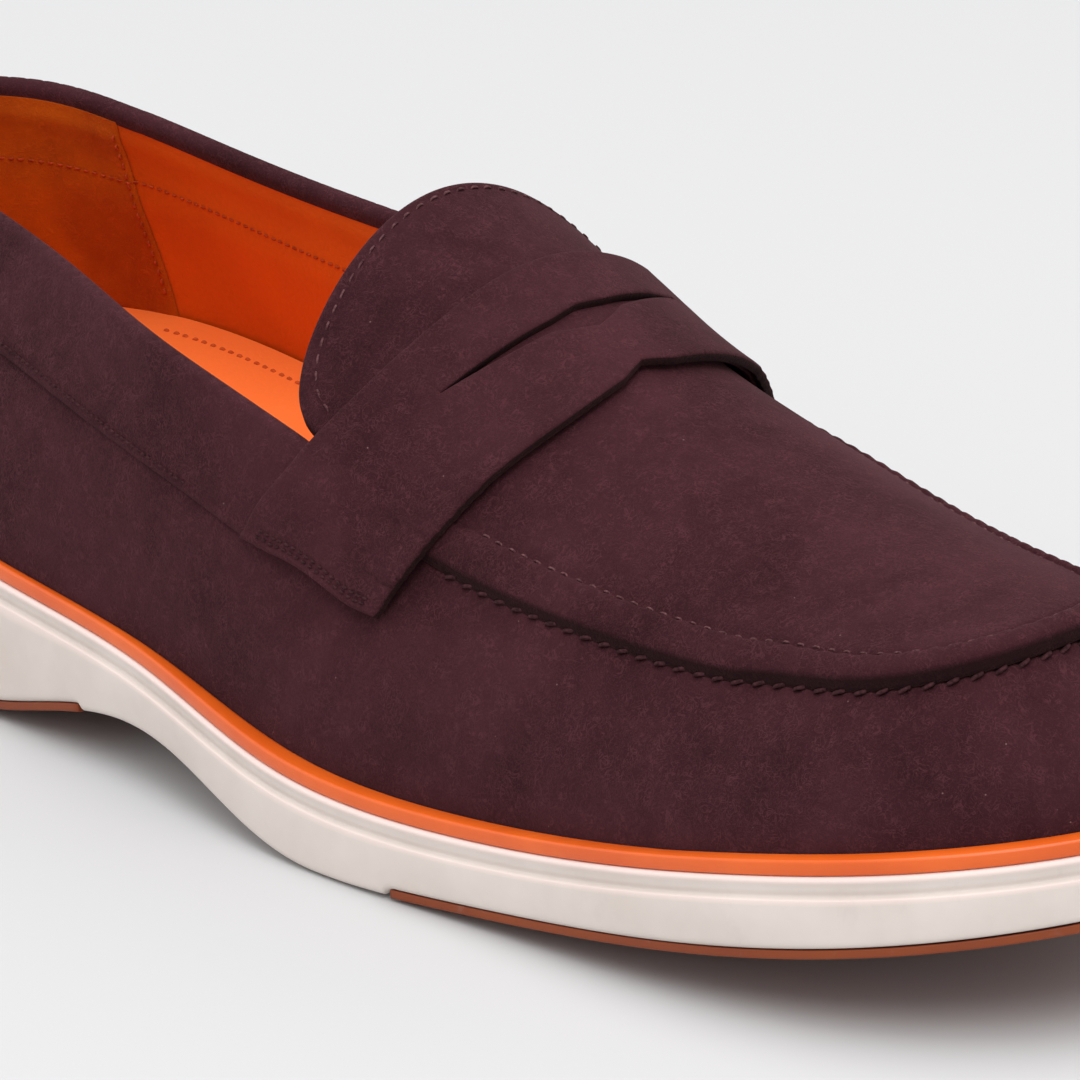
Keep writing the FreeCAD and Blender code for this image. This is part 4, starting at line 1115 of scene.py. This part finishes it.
strapRows = []
strapTop = strap["lift"] + strap["backing"] + strap["gap"] + strap["thickness"]
for side in (-1, 1):
    for fromEnd in strap["rowsFromEnd"]:
        share = np.linspace(0.09, 0.91, 160)
        at = np.full_like(share, side * (1 - fromEnd / strap["halfLength"]))
        path = strapPoint(share, at, strapTop - 0.2)
        normal = unit(strapPoint(share, at, strapTop + 1.0) - path)
        strapRows.append(threadRow(path, normal, 1.45, 1.1, 0.22, 0.5, seed=11 + side))
addMesh("strapStitches", *joinRows(strapRows), [tonalThread], "thread", ["strap_stitches"])
print("strap made")

# hidden stiffeners carried over from the CAD
for node, finish in {"insole_board": boardFibre, "bottom_filler": corkFiller, "shank": shankSteel,
                     "heel_counter": stiffenerFibre, "toe_puff": stiffenerFibre}.items():
    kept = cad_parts[node]
    kept.data.materials.clear()
    kept.data.materials.append(finish)


# floor, light and camera

studio = {"floorTone": "cbcbcc", "floorReach": 6.0, "skyStrength": 0.84,
          "keyPower": 12.0, "topPower": 18.0, "fillPower": 2.0}


def place(name, data):
    # new object in the scene, turned by a quaternion
    made = bpy.data.objects.new(name, data)
    bpy.context.scene.collection.objects.link(made)
    made.rotation_mode = "QUATERNION"
    return made


reach = studio["floorReach"]
floorMesh = bpy.data.meshes.new("floor")
corners = [(-reach, -reach, 0), (reach, -reach, 0), (reach, reach, 0), (-reach, reach, 0)]
floorMesh.from_pydata(corners, [], [[0, 1, 2, 3]])
floor = place("floor", floorMesh)
floorFinish, start, where = newFinish("paleFloor")
finishWith(start, {"Base Color": colour(studio["floorTone"]), "Roughness": 0.85, "Specular IOR Level": 0.2})
floorMesh.materials.append(floorFinish)

world = bpy.data.worlds.new("studioSky")
bpy.context.scene.world = world
world.use_nodes = True
sky = world.node_tree.nodes["Background"].inputs
sky["Color"].default_value, sky["Strength"].default_value = colour("ffffff"), studio["skyStrength"]


def softBox(name, position, aim, size, power):
    # rectangular light that points at its aim
    light = bpy.data.lights.new(name, "AREA")
    light.shape, light.size, light.size_y, light.energy = "RECTANGLE", size[0], size[1], power
    lamp = place(name, light)
    lamp.location = position
    back = np.array(position, float) - np.array(aim, float)
    lamp.rotation_quaternion = Vector(tuple(back)).to_track_quat("Z", "Y")


softBox("keyLight", (1.1, -0.9, 1.6), (0.0, 0.0, 0.03), (1.0, 1.0), studio["keyPower"])
softBox("topLight", (0.1, 0.1, 1.8), (0.0, 0.0, 0.03), (1.9, 1.5), studio["topPower"])
softBox("fillLight", (-1.4, -1.2, 0.9), (0.05, 0.0, 0.03), (1.0, 1.0), studio["fillPower"])

view = {"azimuth": 48.4, "elevation": 19.1, "distance": 1.5, "lens": 380.0, "target": (343.2, -161.3, 123.6)}
turned, raised = math.radians(view["azimuth"]), math.radians(view["elevation"])
level = math.cos(raised)
backward = np.array([math.sin(turned) * level, -math.cos(turned) * level, math.sin(raised)])
lens = bpy.data.cameras.new("camera")
lens.lens, lens.sensor_width, lens.clip_start, lens.clip_end = view["lens"], 36.0, 0.05, 50.0
camera = place("camera", lens)
camera.location = (np.array(view["target"]) + frameShift) / 1000 + backward * view["distance"]
camera.rotation_quaternion = Vector(tuple(-backward)).to_track_quat("-Z", "Y")
bpy.context.scene.camera = camera
bpy.context.scene.view_settings.view_transform = "Standard"
print("stage made")
